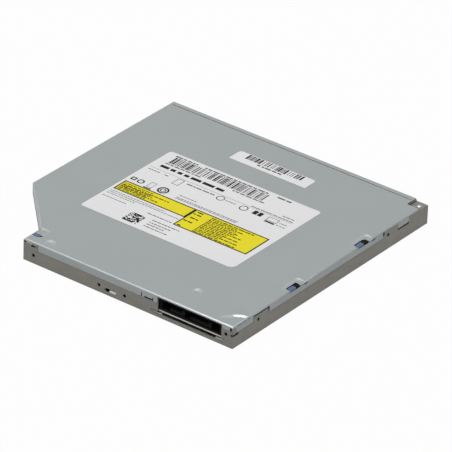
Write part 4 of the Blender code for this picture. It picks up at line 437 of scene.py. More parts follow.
lampFinish = makeFinish("clearLamp", dict(
    color=(166, 214, 160), roughness=0.24, mottle=(0.8, 0.04), smudge=(0.6, 0.05), grain=(0.2, 0.0006),
    edge=0.06, constants={"Transmission Weight": 0.35, "IOR": 1.49},
))
glassFinish = makeFinish("coatedGlass", dict(
    color=(142, 128, 196), roughness=0.06, mottle=(2.2, 0.09), smudge=(1.2, 0.02), edge=0.04,
    constants={"Transmission Weight": 0.5, "IOR": 1.52, "Coat Weight": 0.6, "Coat Roughness": 0.04},
))
flexFinish = makeFinish("amberFlex", dict(
    color=(188, 122, 48), roughness=0.35, mottle=(1.6, 0.06), speck=(0.2, 0.05), smudge=(1, 0.06), edge=0.03,
))


def boardTraces(tree, place, color):
    # Solder mask over copper lines; the cut edge shows pale glass fibre
    sockets = {"Vector": place, "Scale": metre / 4.2, "Mortar Size": 0.06, "Bias": -0.4}
    lines = addNode(tree, "TexBrick", sockets)
    lines.offset = 0.37
    lines.squash = 0.6
    copper = spread(tree, lines.outputs["Fac"], 0.0, 1.0, 0.2, 0.8)
    lit = blendTo(tree, copper, color, tone((58, 122, 78)))
    facing = addNode(tree, "SeparateXYZ", {0: addNode(tree, "TexCoord").outputs["Normal"]}).outputs[2]
    cut = spread(tree, calc(tree, "ABSOLUTE", facing), 1.0, 0.0, 0.4, 0.6)
    return blendTo(tree, cut, lit, tone((228, 228, 214))), copper


def cableStripes(tree, place, color):
    # Flat copper conductors seen through the film
    across = addNode(tree, "SeparateXYZ", {0: place}).outputs[0]
    wave = calc(tree, "SINE", calc(tree, "MULTIPLY", across, 2 * math.pi * metre / 0.5))
    band = spread(tree, wave, 0.0, 0.55, -0.2, 0.4)
    return blendTo(tree, band, color, tone((176, 150, 118))), wave


boardFinish = makeFinish("boardMask", dict(
    color=(32, 84, 56), roughness=0.33, mottle=(7, 0.05), speck=(0.2, 0.04), smudge=(3, 0.06), edge=0.05,
    pattern=boardTraces, patternRise=0.006,
))
cableFinish = makeFinish("cableFilm", dict(
    color=(216, 211, 194), roughness=0.36, mottle=(8, 0.03), smudge=(4, 0.06), edge=0.02,
    pattern=cableStripes, patternRise=0.003,
))
print("stage: finishes mixed")

coatNode(coverFinish, "top_cover", "traverse_cover")
coatNode(chassisFinish, "bottom_chassis")
coatNode(blueFinish, "left_guide", "right_guide")
coatNode(rolledFinish, "left_rail", "right_rail", "tray_bottom_cover", "traverse_frame", "spindle_base")
coatNode(connectorFinish, "sata_connector", "controller_chip", "motor_driver_chip")
coatNode(boardFinish, "main_board", "front_board")
coatNode(whiteFinish, "cable_socket", "ejector_pusher", "rack_follower", "eject_plunger")
coatNode(blackFinish, "tray_frame", "turntable", "lens_holder")
coatNode(castFinish, "pickup_body", "feed_motor", "lock_magnet")
coatNode(brightFinish, "lock_lever", "spindle_rotor", "lead_screw", "tab_rivet", "lock_post")
coatNode(brightFinish, "guide_rod_left", "guide_rod_right", "ejector_spring")
coatNode(rubberFinish, "turntable_pad", "damper_1", "damper_2", "damper_3")
coatNode(greyFinish, "claw_1", "claw_2", "claw_3", "eject_switch")
coatNode(copperFinish, "spindle_stator")
coatNode(lampFinish, "busy_lamp")
coatNode(glassFinish, "objective_lens")
coatNode(cableFinish, "tray_cable")
coatNode(labelFinish, "cover_label", "small_label")
coatNode(darkFinish, *[name for name in cadNodes if "screw_" in name])


# Sheet metal: slits, notches and hollows cut into copies of the two CAD sheets

sheetCuts = {
    # low and high corners of each cut
    "both": [
        ((-20.3, 61.5, 6.1), (-19.8, 63.2, 7.9)),
        ((-25.8, 61.5, 6.2), (-21.4, 63.2, 6.8)),
        ((-25.8, 61.5, 6.7), (-25.3, 63.2, 7.5)),
        ((32.6, 61.5, 7.2), (34.4, 63.2, 7.95)),
        ((-64.2, 40.3, 6.8), (-62.2, 41.1, 8.85)),
        ((-64.2, -33.7, 7.3), (-62.2, -32.7, 8.85)),
        ((-64.2, 16.2, 8.15), (-63.3, 18.5, 8.65)),
        ((-64.2, -27.9, 8.15), (-63.3, -25.6, 8.65)),
        ((-64.2, 52.4, 8.8), (-63.4, 54.3, 9.02)),
        ((-64.2, 54.9, 8.8), (-63.4, 57.3, 9.02)),
        ((-64.2, 57.8, 8.8), (-63.4, 60.1, 9.02)),
    ],
    "cover": [
        ((-64.2, 20.8, 8.4), (-61.8, 27.1, 9.6)),
        ((-64.2, -23.6, 8.4), (-61.8, -16.6, 9.6)),
        ((34.7, 56.4, 8.4), (37.8, 58.7, 9.6)),
        ((-57.4, -61.0, 8.96), (62.8, -60.6, 9.6)),
    ],
    "chassis": [
        ((-64.2, 21.0, 7.9), (-62.0, 27.0, 9.2)),
        ((-64.2, -23.5, 7.9), (-62.0, -16.7, 9.2)),
        ((-64.2, 41.0, 8.2), (-63.2, 51.8, 8.95)),
        ((-64.2, 59.7, 5.1), (-63.66, 63.2, 5.95)),
        ((-64.2, 62.76, 5.1), (-62.9, 63.2, 6.0)),
        ((-64.2, 62.76, 5.9), (-63.66, 63.2, 7.4)),
        ((-7.7, 61.5, 1.5), (-2.7, 63.2, 3.2)),
        ((-28.2, 62.0, 1.5), (-24.7, 63.2, 2.6)),
        ((-59.9, 62.0, 1.5), (-58.3, 63.2, 2.6)),
    ],
    # x, y, rim radius, floor radius, depth
    "dishes": [(28.2, 59.0, 1.9, 0.5, 0.42), (-37.3, 51.0, 2.3, 0.8, 0.42)],
    "cornerArc": {
        "x": -64.0, "y": 60.2, "rear": 63.05, "radius": 6.3, "slope": 1.2, "depth": 0.4, "edge": 0.72,
        "start": -84, "turn": 90, "steps": 18,
    },
    # first and last y of the hollow round a hook opening, and its right side
    "hollows": [(17.3, 28.7, -59.6), (-26.8, -15.2, -59.6)],
    "earHollow": (33.6, 51.9, 38.0, 59.4),
    # corner radii of each hollow's floor and rim
    "hollowCorners": (1.0, 1.8),
    "earCorners": (0.5, 1.2),
    "hollowSlope": 1.3,
    "hollowDepth": 0.3,
    # share of the way from the floor to the rim, and share of the depth there
    "pressSteps": ((0.0, 0.0), (0.3, 0.16), (0.55, 0.4), (0.8, 0.7), (1.0, 1.0), (1.15, 1.3)),
    "past": -64.2,
    "coverTop": 9.42,
    "weld": 0.0004,
    "sliver": 0.0015,
    # where the plate's slopes and rear fold take the lighter finishes of painted highlights, and how steep
    # they are there
    "marks": {
        "plate": 8.8, "rearFold": 62.35, "leftFold": -63.3, "hooks": -55.0, "corner": 52.0, "arcEnd": 55.9,
        "steepest": 0.5, "flattest": 0.985,
    },
    # faces along an axis, or over this many mm2, are flat, and flats this much in line stay joined
    "along": 0.9995,
    "wide": 30.0,
    "inLine": 0.999998,
}


def blockTool(low, high):
    bm = bmesh.new()
    addBlock(bm, low, high)
    return bm


def hollowTool(floor, rim, depth):
    # A pressed hollow that grows steeper towards its rim, carried on a little above the plate
    bm = bmesh.new()
    bottom = sheetCuts["coverTop"] - depth
    rings = []
    for share, rise in sheetCuts["pressSteps"]:
        ring = []
        for (x0, y0), (x1, y1) in zip(floor, rim):
            ring.append((x0 + (x1 - x0) * share, y0 + (y1 - y0) * share, bottom + depth * rise))
        rings.append(ring)
    addLoft(bm, rings)
    return bm


def cutSheet(node, name, finish, tools):
    # Cuts one tool after another out of a copy of a CAD sheet, and lets the copy stand for it
    bm = bmesh.new()
    bm.from_mesh(cadNodes[node].data)
    bm.transform(Matrix.Scale(1 / mm, 4) @ cadNodes[node].matrix_world)
    bmesh.ops.remove_doubles(bm, verts=bm.verts[:], dist=sheetCuts["weld"])
    bmesh.ops.recalc_face_normals(bm, faces=bm.faces[:])
    made = []
    for shape in [bm] + tools:
        mesh = bpy.data.meshes.new("sheetShape")
        shape.to_mesh(mesh)
        shape.free()
        made.append(bpy.data.objects.new("sheetShape", mesh))
        bpy.context.scene.collection.objects.link(made[-1])
    sheet = made[0]
    for tool in made[1:]:
        step = sheet.modifiers.new("cut", "BOOLEAN")
        step.operation = "DIFFERENCE"
        step.solver = "EXACT"
        step.object = tool
    seen = sheet.evaluated_get(bpy.context.evaluated_depsgraph_get())
    bm = bmesh.new()
    bm.from_mesh(seen.to_mesh())
    seen.to_mesh_clear()
    bmesh.ops.dissolve_degenerate(bm, dist=sheetCuts["sliver"], edges=bm.edges[:])
    bmesh.ops.remove_doubles(bm, verts=bm.verts[:], dist=sheetCuts["sliver"])
    for spent in made:
        mesh = spent.data
        bpy.data.objects.remove(spent)
        bpy.data.meshes.remove(mesh)
    marks = sheetCuts["marks"]
    for face in bm.faces:
        # Painted highlights: the pressed slopes take lighter copies of the plate's finish, a glossy one at
        # the corner arc and a soft one elsewhere, and the rear fold a near-white one
        x, y, z = face.calc_center_median()
        if z < marks["plate"] or not marks["steepest"] < face.normal.z < marks["flattest"]:
            continue
        if y > marks["rearFold"]:
            face.material_index = 2
        elif x > marks["leftFold"] and not (x < marks["hooks"] and y > marks["arcEnd"]):
            face.material_index = 1 if x < marks["hooks"] and y > marks["corner"] else 3
    finishes = (finish, pressedHighlightFinish, foldHighlightFinish, softHighlightFinish)
    piece = newPiece(name, bm, finishes, "case", [node], 25)
    sharpenFlats(piece.data)
    return piece


def sharpenFlats(mesh):
    # Keeps the soft shading of folds and hollows off the wide and flat faces beside them
    cuts = sheetCuts
    beside = {}
    for face in mesh.polygons:
        flat = max(abs(way) for way in face.normal) > cuts["along"] or face.area > cuts["wide"] * mm * mm
        for key in face.edge_keys:
            beside.setdefault(key, []).append((flat, face.normal.copy()))
    for edge in mesh.edges:
        pair = beside.get(edge.key, ())
        if len(pair) == 2 and (pair[0][0] or pair[1][0]) and pair[0][1].dot(pair[1][1]) < cuts["inLine"]:
            edge.use_edge_sharp = True


def coverTools():
    cuts = sheetCuts
    tools = [blockTool(low, high) for low, high in cuts["both"] + cuts["cover"]]
    for x, y, rim, floor, depth in cuts["dishes"]:
        tools.append(hollowTool(roundPoints(floor, 32, x, y), roundPoints(rim, 32, x, y), depth))
    arc = cuts["cornerArc"]
    left, rear = arc["x"] + arc["edge"], arc["rear"] - arc["edge"]
    outlines = []
    for radius in (arc["radius"], arc["radius"] + arc["slope"]):
        points = []
        for step in range(arc["steps"] + 1):
            turn = math.radians(arc["start"] + arc["turn"] * step / arc["steps"])
            x = max(arc["x"] + radius * math.cos(turn), left)
            points.append((x, min(arc["y"] + radius * math.sin(turn), rear)))
        points += [(points[-1][0], rear), (left, rear)]
        outlines.append(points)
    tools.append(hollowTool(*outlines, arc["depth"]))
    slope, depth, left = cuts["hollowSlope"], cuts["hollowDepth"], cuts["past"]
    inner, outer = cuts["hollowCorners"]
    for front, rear, right in cuts["hollows"]:
        floor = rectPoints(left, right - slope, front + slope, rear - slope, inner)
        tools.append(hollowTool(floor, rectPoints(left, right, front, rear, outer), depth))
    inner, outer = cuts["earCorners"]
    left, front, right, rear = cuts["earHollow"]
    floor = rectPoints(left + slope, right, front + slope, rear - slope, inner)
    tools.append(hollowTool(floor, rectPoints(left, right + 0.01, front, rear, outer), depth))
    return tools


def chassisTools():
    return [blockTool(low, high) for low, high in sheetCuts["both"] + sheetCuts["chassis"]]


wallTrim = {
    # The joggled part of the wall below each flange: start, way, first, last, foot
    "runs": [
        ((-64.0, 63.05), (0, -1), 3.4, 12.6, 6.3),
        ((-64.0, 63.05), (0, -1), 22.6, 95.9, 6.3),
        ((38.35, 63.05), (-1, 0), 7.3, 66.0, 6.2),
        ((38.35, 63.05), (-1, 0), 0.5, 3.9, 8.0),
        ((38.35, 63.05), (-1, 0), 97.2, 101.7, 7.4),
        ((38.35, 52.95), (0, 1), 0.6, 8.8, 6.2),
        ((64.0, -63.05), (0, 1), 9.0, 52.0, 6.3),
        ((64.0, -63.05), (0, 1), 60.0, 88.1, 6.3),
    ],
    "drop": 0.95,
    "gap": 0.1,
    "sheet": 0.42,
    # The sill below the board's edge, the lips round the corner tab, and the lanced tabs of the rear
    "blocks": [
        ((-58.4, 62.5, 1.0), (-28.1, 62.95, 1.5)),
        ((-63.3, -56.75, 8.2), (-58.5, -56.42, 9.1)),
        ((-58.5, -62.9, 8.2), (-58.22, -56.42, 8.9)),
    ],
    "tabs": [(-7.5, -4.4, 1.6, 2.4), (-30.2, -24.8, 1.8, 2.25), (-59.8, -55.9, 1.8, 2.25)],
    "tabRear": 63.04,
    "spots": [(-16.1, 1.6, 0.42), (3.0, 3.7, 0.34)],
}


def makeWallTrim():
    trim = wallTrim
    bm = bmesh.new()
    for start, way, first, last, foot in trim["runs"]:
        inward = (-way[1], way[0])
        low, high, sheet = foot - trim["drop"], foot - trim["gap"], trim["sheet"]
        shape = [(0.0, low), (0.0, high - 0.12), (0.05, high), (sheet, high), (sheet, low)]
        rings = []
        for along in (first, last):
            x, y = start[0] + way[0] * along, start[1] + way[1] * along
            rings.append([(x + inward[0] * depth, y + inward[1] * depth, level) for depth, level in shape])
        addLoft(bm, rings)
    for low, high in trim["blocks"]:
        addBlock(bm, low, high, 0, 0.0, 0.06)
    newPiece("wallJoggles", bm, (chassisFinish,), "case")
    bm = bmesh.new()
    rear = trim["tabRear"]
    for left, right, low, high in trim["tabs"]:
        shape = [(rear, low), (rear, low + 0.2), (rear - 0.5, high), (rear - 0.7, high), (rear - 0.4, low)]
        addLoft(bm, [[(x, y, z) for y, z in shape] for x in (left, right)])
    for x, z, radius in trim["spots"]:
        profile = [(radius, rear - 0.12), (radius, rear - 0.06), (radius * 0.6, rear), (0.0, rear)]
        addTurned(bm, profile, z, x, 0, "y", 20)
    newPiece("lancedTabs", bm, (rolledFinish,), "case")


hookTipsAndShadeFills = {
    "blue": [
        ((-63.9, 23.4, 7.9), (-61.85, 27.0, 9.3)),
        ((-63.9, -20.4, 7.9), (-61.85, -16.7, 9.3)),
        ((34.8, 56.5, 8.0), (37.7, 58.6, 9.2)),
    ],
    # near-black blocks that paint the shade inside the hook openings, behind the corner notch and the side
    # seam, and in the front strip's groove
    "shadeFills": [
        ((-63.8, 20.9, 7.2), (-61.85, 23.35, 9.0)),
        ((-63.8, -23.5, 7.2), (-61.85, -20.45, 9.0)),
        ((-63.7, 58.6, 4.6), (-62.3, 62.8, 8.6)),
        ((-63.94, 41.1, 8.0), (-63.0, 51.7, 8.74)),
        ((-57.38, -60.99, 8.9), (62.78, -60.61, 9.03)),
    ],
    "leftWall": -64.0,
    "rearWall": 63.05,
    "recess": 0.06,
    "round": 0.35,
}


def makeHookTipsAndShadeFills():
    # The blue ends of the guides' hooks that stand in the openings of the cover, and near-black blocks of
    # painted shade inside the openings, notch, seam, slits and groove
    tips = hookTipsAndShadeFills
    bm = bmesh.new()
    for low, high in tips["blue"]:
        addBlock(bm, low, high, 0, tips["round"], 0.16)
    for low, high in tips["shadeFills"]:
        addBlock(bm, low, high, 1, tips["round"], 0.1)
    left, rear = tips["leftWall"] + tips["recess"], tips["rearWall"] - tips["recess"]
    for low, high in sheetCuts["both"]:
        # Painted shade: a near-black block behind each slit that goes through both sheets
        if low[0] < left:
            addBlock(bm, (left, low[1], low[2]), high, 1)
        else:
            addBlock(bm, low, (high[0], rear, high[2]), 1)
    newPiece("hookTipsAndShadeFills", bm, (blueFinish, connectorFinish), "case")


cutSheet("top_cover", "coverSheetCut", coverFinish, coverTools())
cutSheet("bottom_chassis", "chassisSheetCut", chassisFinish, chassisTools())
makeWallTrim()
makeHookTipsAndShadeFills()
print("stage: sheets cut and trimmed")


# Labels: plain fields, bars and squares only

def addInk(bm, left, right, front, rear, finish, levels):
    addBlock(bm, (left, front, levels[0]), (right, rear, levels[1]), finish)


def addBars(bm, left, right, front, rear, finish, levels, seed, unit):
    # Stripes of random widths, as on a bar code
    draw = random.Random(seed)
    x = left
    while x < right - 3 * unit:
        width = draw.choice((1, 1, 2, 3)) * unit
        addInk(bm, x, x + width, front, rear, finish, levels)
        x += width + draw.choice((1, 1, 2, 3)) * unit


def addWords(bm, left, right, middle, height, finish, levels, seed, toRight=False):
    # A line of print from afar: short bars with gaps, and no letters
    draw = random.Random(seed)
    x = left
    while x < right - height:
        width = min(draw.uniform(1.2, 4.5) * height, right - x)
        first, last = x, x + width
        if toRight:
            first, last = left + right - last, left + right - first
        addInk(bm, first, last, middle - height / 2, middle + height / 2, finish, levels)
        x += width + height * draw.uniform(0.5, 0.8)


def addFrame(bm, left, right, front, rear, line, finish, levels):
    addInk(bm, left, right, front, front + line, finish, levels)
    addInk(bm, left, right, rear - line, rear, finish, levels)
    addInk(bm, left, left + line, front + line, rear - line, finish, levels)
    addInk(bm, right - line, right, front + line, rear - line, finish, levels)


def addRing(bm, x, y, radius, line, finish, levels):
    low, high = levels
    profile = [(radius - line, low), (radius, low), (radius, high), (radius - line, high)]
    addTurned(bm, profile, x, y, finish, closed=True, steps=36)


labelArt = {
    "corner": 1.4,
    "cutCorner": 2.6,
    "cutPoints": ((2.3, 0.0), (1.2, 0.5), (0.3, 1.5), (0.0, 2.6)),
    "filmTop": 9.483,
    "inkLevels": (9.478, 9.492),
    "lineLevels": (9.478, 9.4985),
    "panels": [(-34.4, 1.5, 1.4, 16.8), (1.5, 37.1, 1.5, 9.6)],
    "panelLine": 0.6,
    "print": [
        # height, ink, first seed, whether it ends at the right, then left, right and middle of each line
        (0.62, 4, 20, True, [
            (-28.8, -7.3, 15.7), (-27.4, -7.3, 13.6), (-27.2, -7.3, 11.5), (-26.2, -7.3, 9.3),
            (-23.0, -7.3, 7.2), (-24.0, -7.3, 5.1), (-28.0, -7.3, 3.1), (16.6, 36.0, 7.4), (19.6, 36.0, 5.9),
            (13.1, 36.0, 4.4),
        ]),
        (0.5, 4, 50, True, [
            (-19.0, -7.3, 14.6), (-19.8, -7.3, 12.5), (-21.0, -7.3, 10.4), (-22.0, -7.3, 8.2),
            (-21.4, -7.3, 6.1), (-20.5, -7.3, 4.1), (22.0, 36.0, 8.4), (22.4, 36.0, 6.6), (21.8, 36.0, 5.1),
            (21.8, 36.0, 3.2),
        ]),
        (0.75, 1, 80, False, [
            (-1.4, 0.6, 15.6), (-3.8, 0.5, 11.2), (-4.2, 0.5, 8.0), (-3.4, 0.5, 4.9), (-3.0, 0.5, 3.0),
        ]),
    ],
    "square": {"place": (12.4, 19.4, 19.4, 26.5), "cells": 16, "seed": 11, "share": 0.64, "rise": 0.98},
    "greySeed": 100,
    "greyLines": [
        # left, right, middle and height
        (-2.0, 9.4, 25.0, 0.5), (0.8, 9.4, 23.2, 0.5), (-1.0, 9.4, 21.5, 0.5), (-4.0, 9.4, 19.5, 0.5),
        (2.0, 14.4, 16.3, 0.5), (25.0, 37.0, 16.3, 0.4), (23.0, 37.0, 13.6, 0.35), (2.0, 37.0, 12.3, 0.35),
        (9.8, 37.0, 11.1, 0.35), (-17.0, 13.6, -0.2, 0.4), (-17.0, 13.6, -1.1, 0.4), (4.5, 13.6, -3.0, 0.4),
        (-33.6, -29.4, -9.2, 0.4), (-33.6, -29.4, -11.2, 0.4), (-7.6, -2.2, -11.7, 0.4),
        (3.2, 17.0, -12.0, 0.7), (25.8, 28.4, -12.0, 0.5), (30.2, 36.4, -12.0, 0.5),
        (-33.6, 37.0, -13.9, 0.18), (-33.6, -13.0, -14.8, 0.5), (-33.6, -27.0, -16.5, 0.5),
        (-15.6, 0.2, -19.8, 0.7), (15.4, 33.9, -19.8, 0.7), (-13.2, 19.4, -27.0, 0.8),
        (23.0, 34.2, -27.0, 0.8), (-23.4, -16.6, -27.1, 0.9),
    ],
    "boldLine": (2.4, 34.2, -17.0, 1.7),
    "boldSeed": 7,
    "bars": (-13.3, 34.2, -26.2, -20.7),
    "barSeed": 5,
    "barUnit": 0.26,
    # x, y, radius and line
    "rings": [
        (20.9, -1.8, 2.5, 0.75), (20.9, -1.8, 1.3, 0.45), (-0.1, -11.7, 1.8, 0.36), (32.0, -1.6, 1.6, 0.6),
        (-11.8, -11.4, 1.9, 0.4),
    ],
    "squares": [
        (25.7, 28.2, -4.2, 0.0, 0.2), (-28.7, -23.6, -12.8, -9.9, 0.25), (34.4, 36.8, -2.9, -0.5, 0.6),
        (18.9, 22.1, -13.3, -8.4, 0.25),
    ],
    "darkBars": [
        (25.2, 28.8, 0.6, 1.3), (-28.6, -23.8, -9.5, -8.5), (-20.8, -18.9, -13.1, -10.2),
        (-18.4, -16.4, -13.1, -10.2),
    ],
}


def addCells(bm, square, finish, levels):
    # A square of random cells, drawn in runs
    left, right, front, _ = square["place"]
    draw = random.Random(square["seed"])
    cells = square["cells"]
    step = (right - left) / cells
    for row in range(cells):
        column = 0
        while column < cells:
            run = draw.choice((1, 1, 2, 3))
            if draw.random() < square["share"]:
                x, y = left + column * step, front + row * step
                addInk(bm, x, min(x + run * step, right), y, y + step * square["rise"], finish, levels)
            column += run


def makeCoverLabel():
    art = labelArt
    low, high = boxOf("cover_label")
    bm = bmesh.new()
    # The rear left corner is cut off in a soft slant
    edgeX, edgeY = low[0] + art["cutCorner"], high[1] - art["cutCorner"]
    outline = rectPoints(low[0], high[0], low[1], high[1], art["corner"], 5)
    outline = [(x, y) for x, y in outline if x > edgeX or y < edgeY]
    place = next(i for i, (x, y) in enumerate(outline) if x < edgeX and y < edgeY)
    soft = [(low[0] + x, high[1] - y) for x, y in art["cutPoints"]]
    addPrism(bm, outline[:place] + soft + outline[place:], low[2], art["filmTop"])
    lines = art["lineLevels"]
    for panel in art["panels"]:
        addInk(bm, *panel, 3, art["inkLevels"])
        addFrame(bm, *panel, art["panelLine"], 1, lines)
    for height, ink, seed, toRight, rows in art["print"]:
        for place, (left, right, middle) in enumerate(rows):
            addWords(bm, left, right, middle, height, ink, lines, seed + place, toRight)
    addCells(bm, art["square"], 1, lines)
    for place, row in enumerate(art["greyLines"]):
        addWords(bm, *row, 2, lines, art["greySeed"] + place, True)
    addWords(bm, *art["boldLine"], 1, lines, art["boldSeed"])
    addBars(bm, *art["bars"], 1, lines, art["barSeed"], art["barUnit"])
    for ring in art["rings"]:
        addRing(bm, *ring, 1, lines)
    for square in art["squares"]:
        addFrame(bm, *square, 1, lines)
    for bar in art["darkBars"]:
        addInk(bm, *bar, 1, lines)
    inks = (labelFinish, darkInkFinish, greyInkFinish, yellowFinish, oliveFinish)
    newPiece("coverLabelPrint", bm, inks, "case", ["cover_label"])


smallArt = {
    "corner": 1.6,
    "line": (-6.6, 5.4, -42.6, 0.9),
    "lineSeed": 3,
    "bars": (-15.2, 13.4, -47.4, -43.7),
    "barSeed": 9,
    "barUnit": 0.3,
}


def makeSmallLabel():
    art = smallArt
    low, high = boxOf("small_label")
    bm = bmesh.new()
    outline = rectPoints(low[0], high[0], low[1], high[1], art["corner"], 5)
    outline = [point for point in outline if point[1] < high[1] - art["corner"] + 0.01]
    outline = [(high[0], high[1]), (low[0], high[1])] + outline[1:-1]
    addPrism(bm, outline, low[2], labelArt["filmTop"], 0)
    lines = labelArt["lineLevels"]
    addWords(bm, *art["line"], 2, lines, art["lineSeed"])
    addBars(bm, *art["bars"], 1, lines, art["barSeed"], art["barUnit"])
    inks = (labelFinish, darkInkFinish, greyInkFinish)
    newPiece("smallLabelPrint", bm, inks, "case", ["small_label"])


makeCoverLabel()
makeSmallLabel()
print("stage: labels printed")


# Screws

screwStyle = {
    "crossLength": 0.62,
    "crossWidth": 0.3,
    "crossDepth": 0.64,
    "crossFloor": 0.5,
    # shares of the head's radius and height, from its top down
    "head": ((0.9, 0.0), (0.985, 0.14), (1.0, 0.34), (1.0, 0.96), (0.97, 1.0)),
    "neck": 1.12,
    "threadPitch": 0.4,
    "threadDepth": 0.1,
    "threadSteps": 6,
    "tipTaper": 0.72,
    "shortest": 0.1,
}


def screwAngles():
    half = math.degrees(math.atan(screwStyle["crossWidth"] / 2 / screwStyle["crossLength"]))
    between = (half + 45) / 2
    angles = []
    for quarter in range(4):
        for turn in (-half, half, between, 45, 90 - between):
            angles.append(90 * quarter + turn)
    return [math.radians(angle) for angle in angles]


def crossReach(angle, radius):
    # Distance from the middle to the edge of the cross recess
    turned = (angle + math.pi / 4) % (math.pi / 2) - math.pi / 4
    side = abs(math.sin(turned))
    arm = radius * screwStyle["crossLength"] / math.cos(turned)
    if side < 1e-6:
        return arm
    return min(arm, radius * screwStyle["crossWidth"] / 2 / side)


def makeScrew(node, body, headUp, headHeight, shankRadius):
    style = screwStyle
    low, high = boxOf(node)
    x, y, _ = middleOf(node)
    radius = (high[0] - low[0]) / 2
    top, tip = (high[2], low[2]) if headUp else (low[2], high[2])
    way = 1 if headUp else -1
    angles = screwAngles()
    rings = []

    def ring(reach, height):
        points = [(reach(a) if callable(reach) else reach, a) for a in angles]
        rings.append([(x + r * math.cos(a), y + r * math.sin(a), height) for r, a in points])

    ring(lambda a: crossReach(a, radius) * style["crossFloor"], top - way * headHeight * style["crossDepth"])
    ring(lambda a: crossReach(a, radius), top)
    for share, drop in style["head"]:
        ring(radius * share, top - way * headHeight * drop)
    ring(shankRadius, top - way * headHeight)
    start = top - way * headHeight * style["neck"]
    length = abs(tip - start)
    if length > style["shortest"]:
        count = max(4, int(length / style["threadPitch"] * style["threadSteps"]))
        for step in range(count + 1):
            height = start + (tip - start) * step / count
            taper = style["tipTaper"] if step == count else 1.0

            def thread(a, height=height, taper=taper):
                turn = (height / style["threadPitch"] - a / (2 * math.pi)) % 1.0
                rise = 1 - abs(2 * turn - 1)
                return shankRadius * (1 - style["threadDepth"] * (1 - rise)) * taper

            ring(thread, height)
    bm = bmesh.new()
    addLoft(bm, rings)
    newPiece(node + ".cross", bm, (darkFinish,), body, [node], 30)


for place in range(1, 5):
    makeScrew(f"guide_screw_{place}", "case", False, 0.3, 0.8)
for place in range(1, 4):
    makeScrew(f"board_screw_{place}", "case", True, 0.6, 0.7)
    makeScrew(f"tray_cover_screw_{place}", "tray", False, 0.28, 0.7)
    makeScrew(f"damper_screw_{place}", "tray", False, 0.55, 0.8)
print("stage: screws cut")


# Small turned parts of the case

rivetSize = {"headRadius": 0.9, "rim": 0.05, "rise": 0.36, "domeSteps": 6}


def makeRivet():
    size = rivetSize
    low, high = boxOf("tab_rivet")
    x, y, _ = middleOf("tab_rivet")
    radius, rise = size["headRadius"], size["rise"]
    rim = low[2] + size["rim"]
    shoulder = max(high[2] - rise, rim)
    profile = [(radius * 0.6, low[2]), (radius * 0.96, low[2]), (radius, rim)]
    for step in range(1, size["domeSteps"] + 1):
        turn = math.pi / 2 * step / size["domeSteps"]
        profile.append((radius * math.cos(turn), shoulder + rise * 0.9 * math.sin(turn)))
    bm = bmesh.new()
    addTurned(bm, profile, x, y)
    newPiece("tabRivetDome", bm, (brightFinish,), "case", ["tab_rivet"])


postSize = {"footRadius": 1.8, "footTop": 0.95, "shaftRadius": 1.0, "groove": 0.12}


def makeLockPost():
    size = postSize
    low, high = boxOf("lock_post")
    x, y, _ = middleOf("lock_post")
    base, top = low[2], high[2]
    foot, step, shaft = size["footRadius"], size["footTop"], size["shaftRadius"]
    waist = shaft - size["groove"]
    profile = [
        (foot * 0.9, base), (foot, base + 0.08), (foot, step - 0.06), (foot * 0.95, step),
        (shaft + 0.1, step), (shaft, step + 0.1), (shaft, top - 0.7), (waist, top - 0.6),
        (waist, top - 0.45), (shaft, top - 0.35), (shaft, top - 0.15), (shaft - 0.15, top),
    ]
    bm = bmesh.new()
    addTurned(bm, profile, x, y)
    newPiece("lockPostTurned", bm, (brightFinish,), "case", ["lock_post"])


wallThread = {
    "depth": 0.5,
    "outer": 0.745,
    "inner": 0.6,
    "turns": 3,
    "leftHoles": ((47.2, 6.0), (-36.3, 6.4)),
    "rearHoles": ((33.3, 3.6), (0.7, 3.1), (-11.9, 3.0), (-60.7, 5.3)),
    "leftFace": -63.75,
    "rearFace": 62.8,
}


def makeWallThreads():
    # The cut threads that show inside the small holes of the walls, near-black with a closed back: painted
    # shade inside each hole
    size = wallThread
    bm = bmesh.new()

    def addThread(x, y, face, way, axis):
        root = size["outer"] - 0.03
        profile = [(size["outer"], face)]
        for turn in range(size["turns"]):
            for share, radius in ((0.15, root), (0.5, size["inner"]), (0.85, root)):
                profile.append((radius, face - way * size["depth"] * (turn + share) / size["turns"]))
        back = face - way * size["depth"]
        profile += [(0.0, back), (0.0, back - way * 0.1), (size["outer"], back - way * 0.1)]
        addTurned(bm, profile, x, y, 0, axis, 20, closed=True)

    for y, z in size["leftHoles"]:
        addThread(y, z, size["leftFace"], -1, "x")
    for x, z in size["rearHoles"]:
        addThread(z, x, size["rearFace"], 1, "y")
    newPiece("wallHoleThreadsShadedDark", bm, (connectorFinish,), "case")


makeRivet()
makeLockPost()
makeWallThreads()
print("stage: case fittings turned")


# Main board

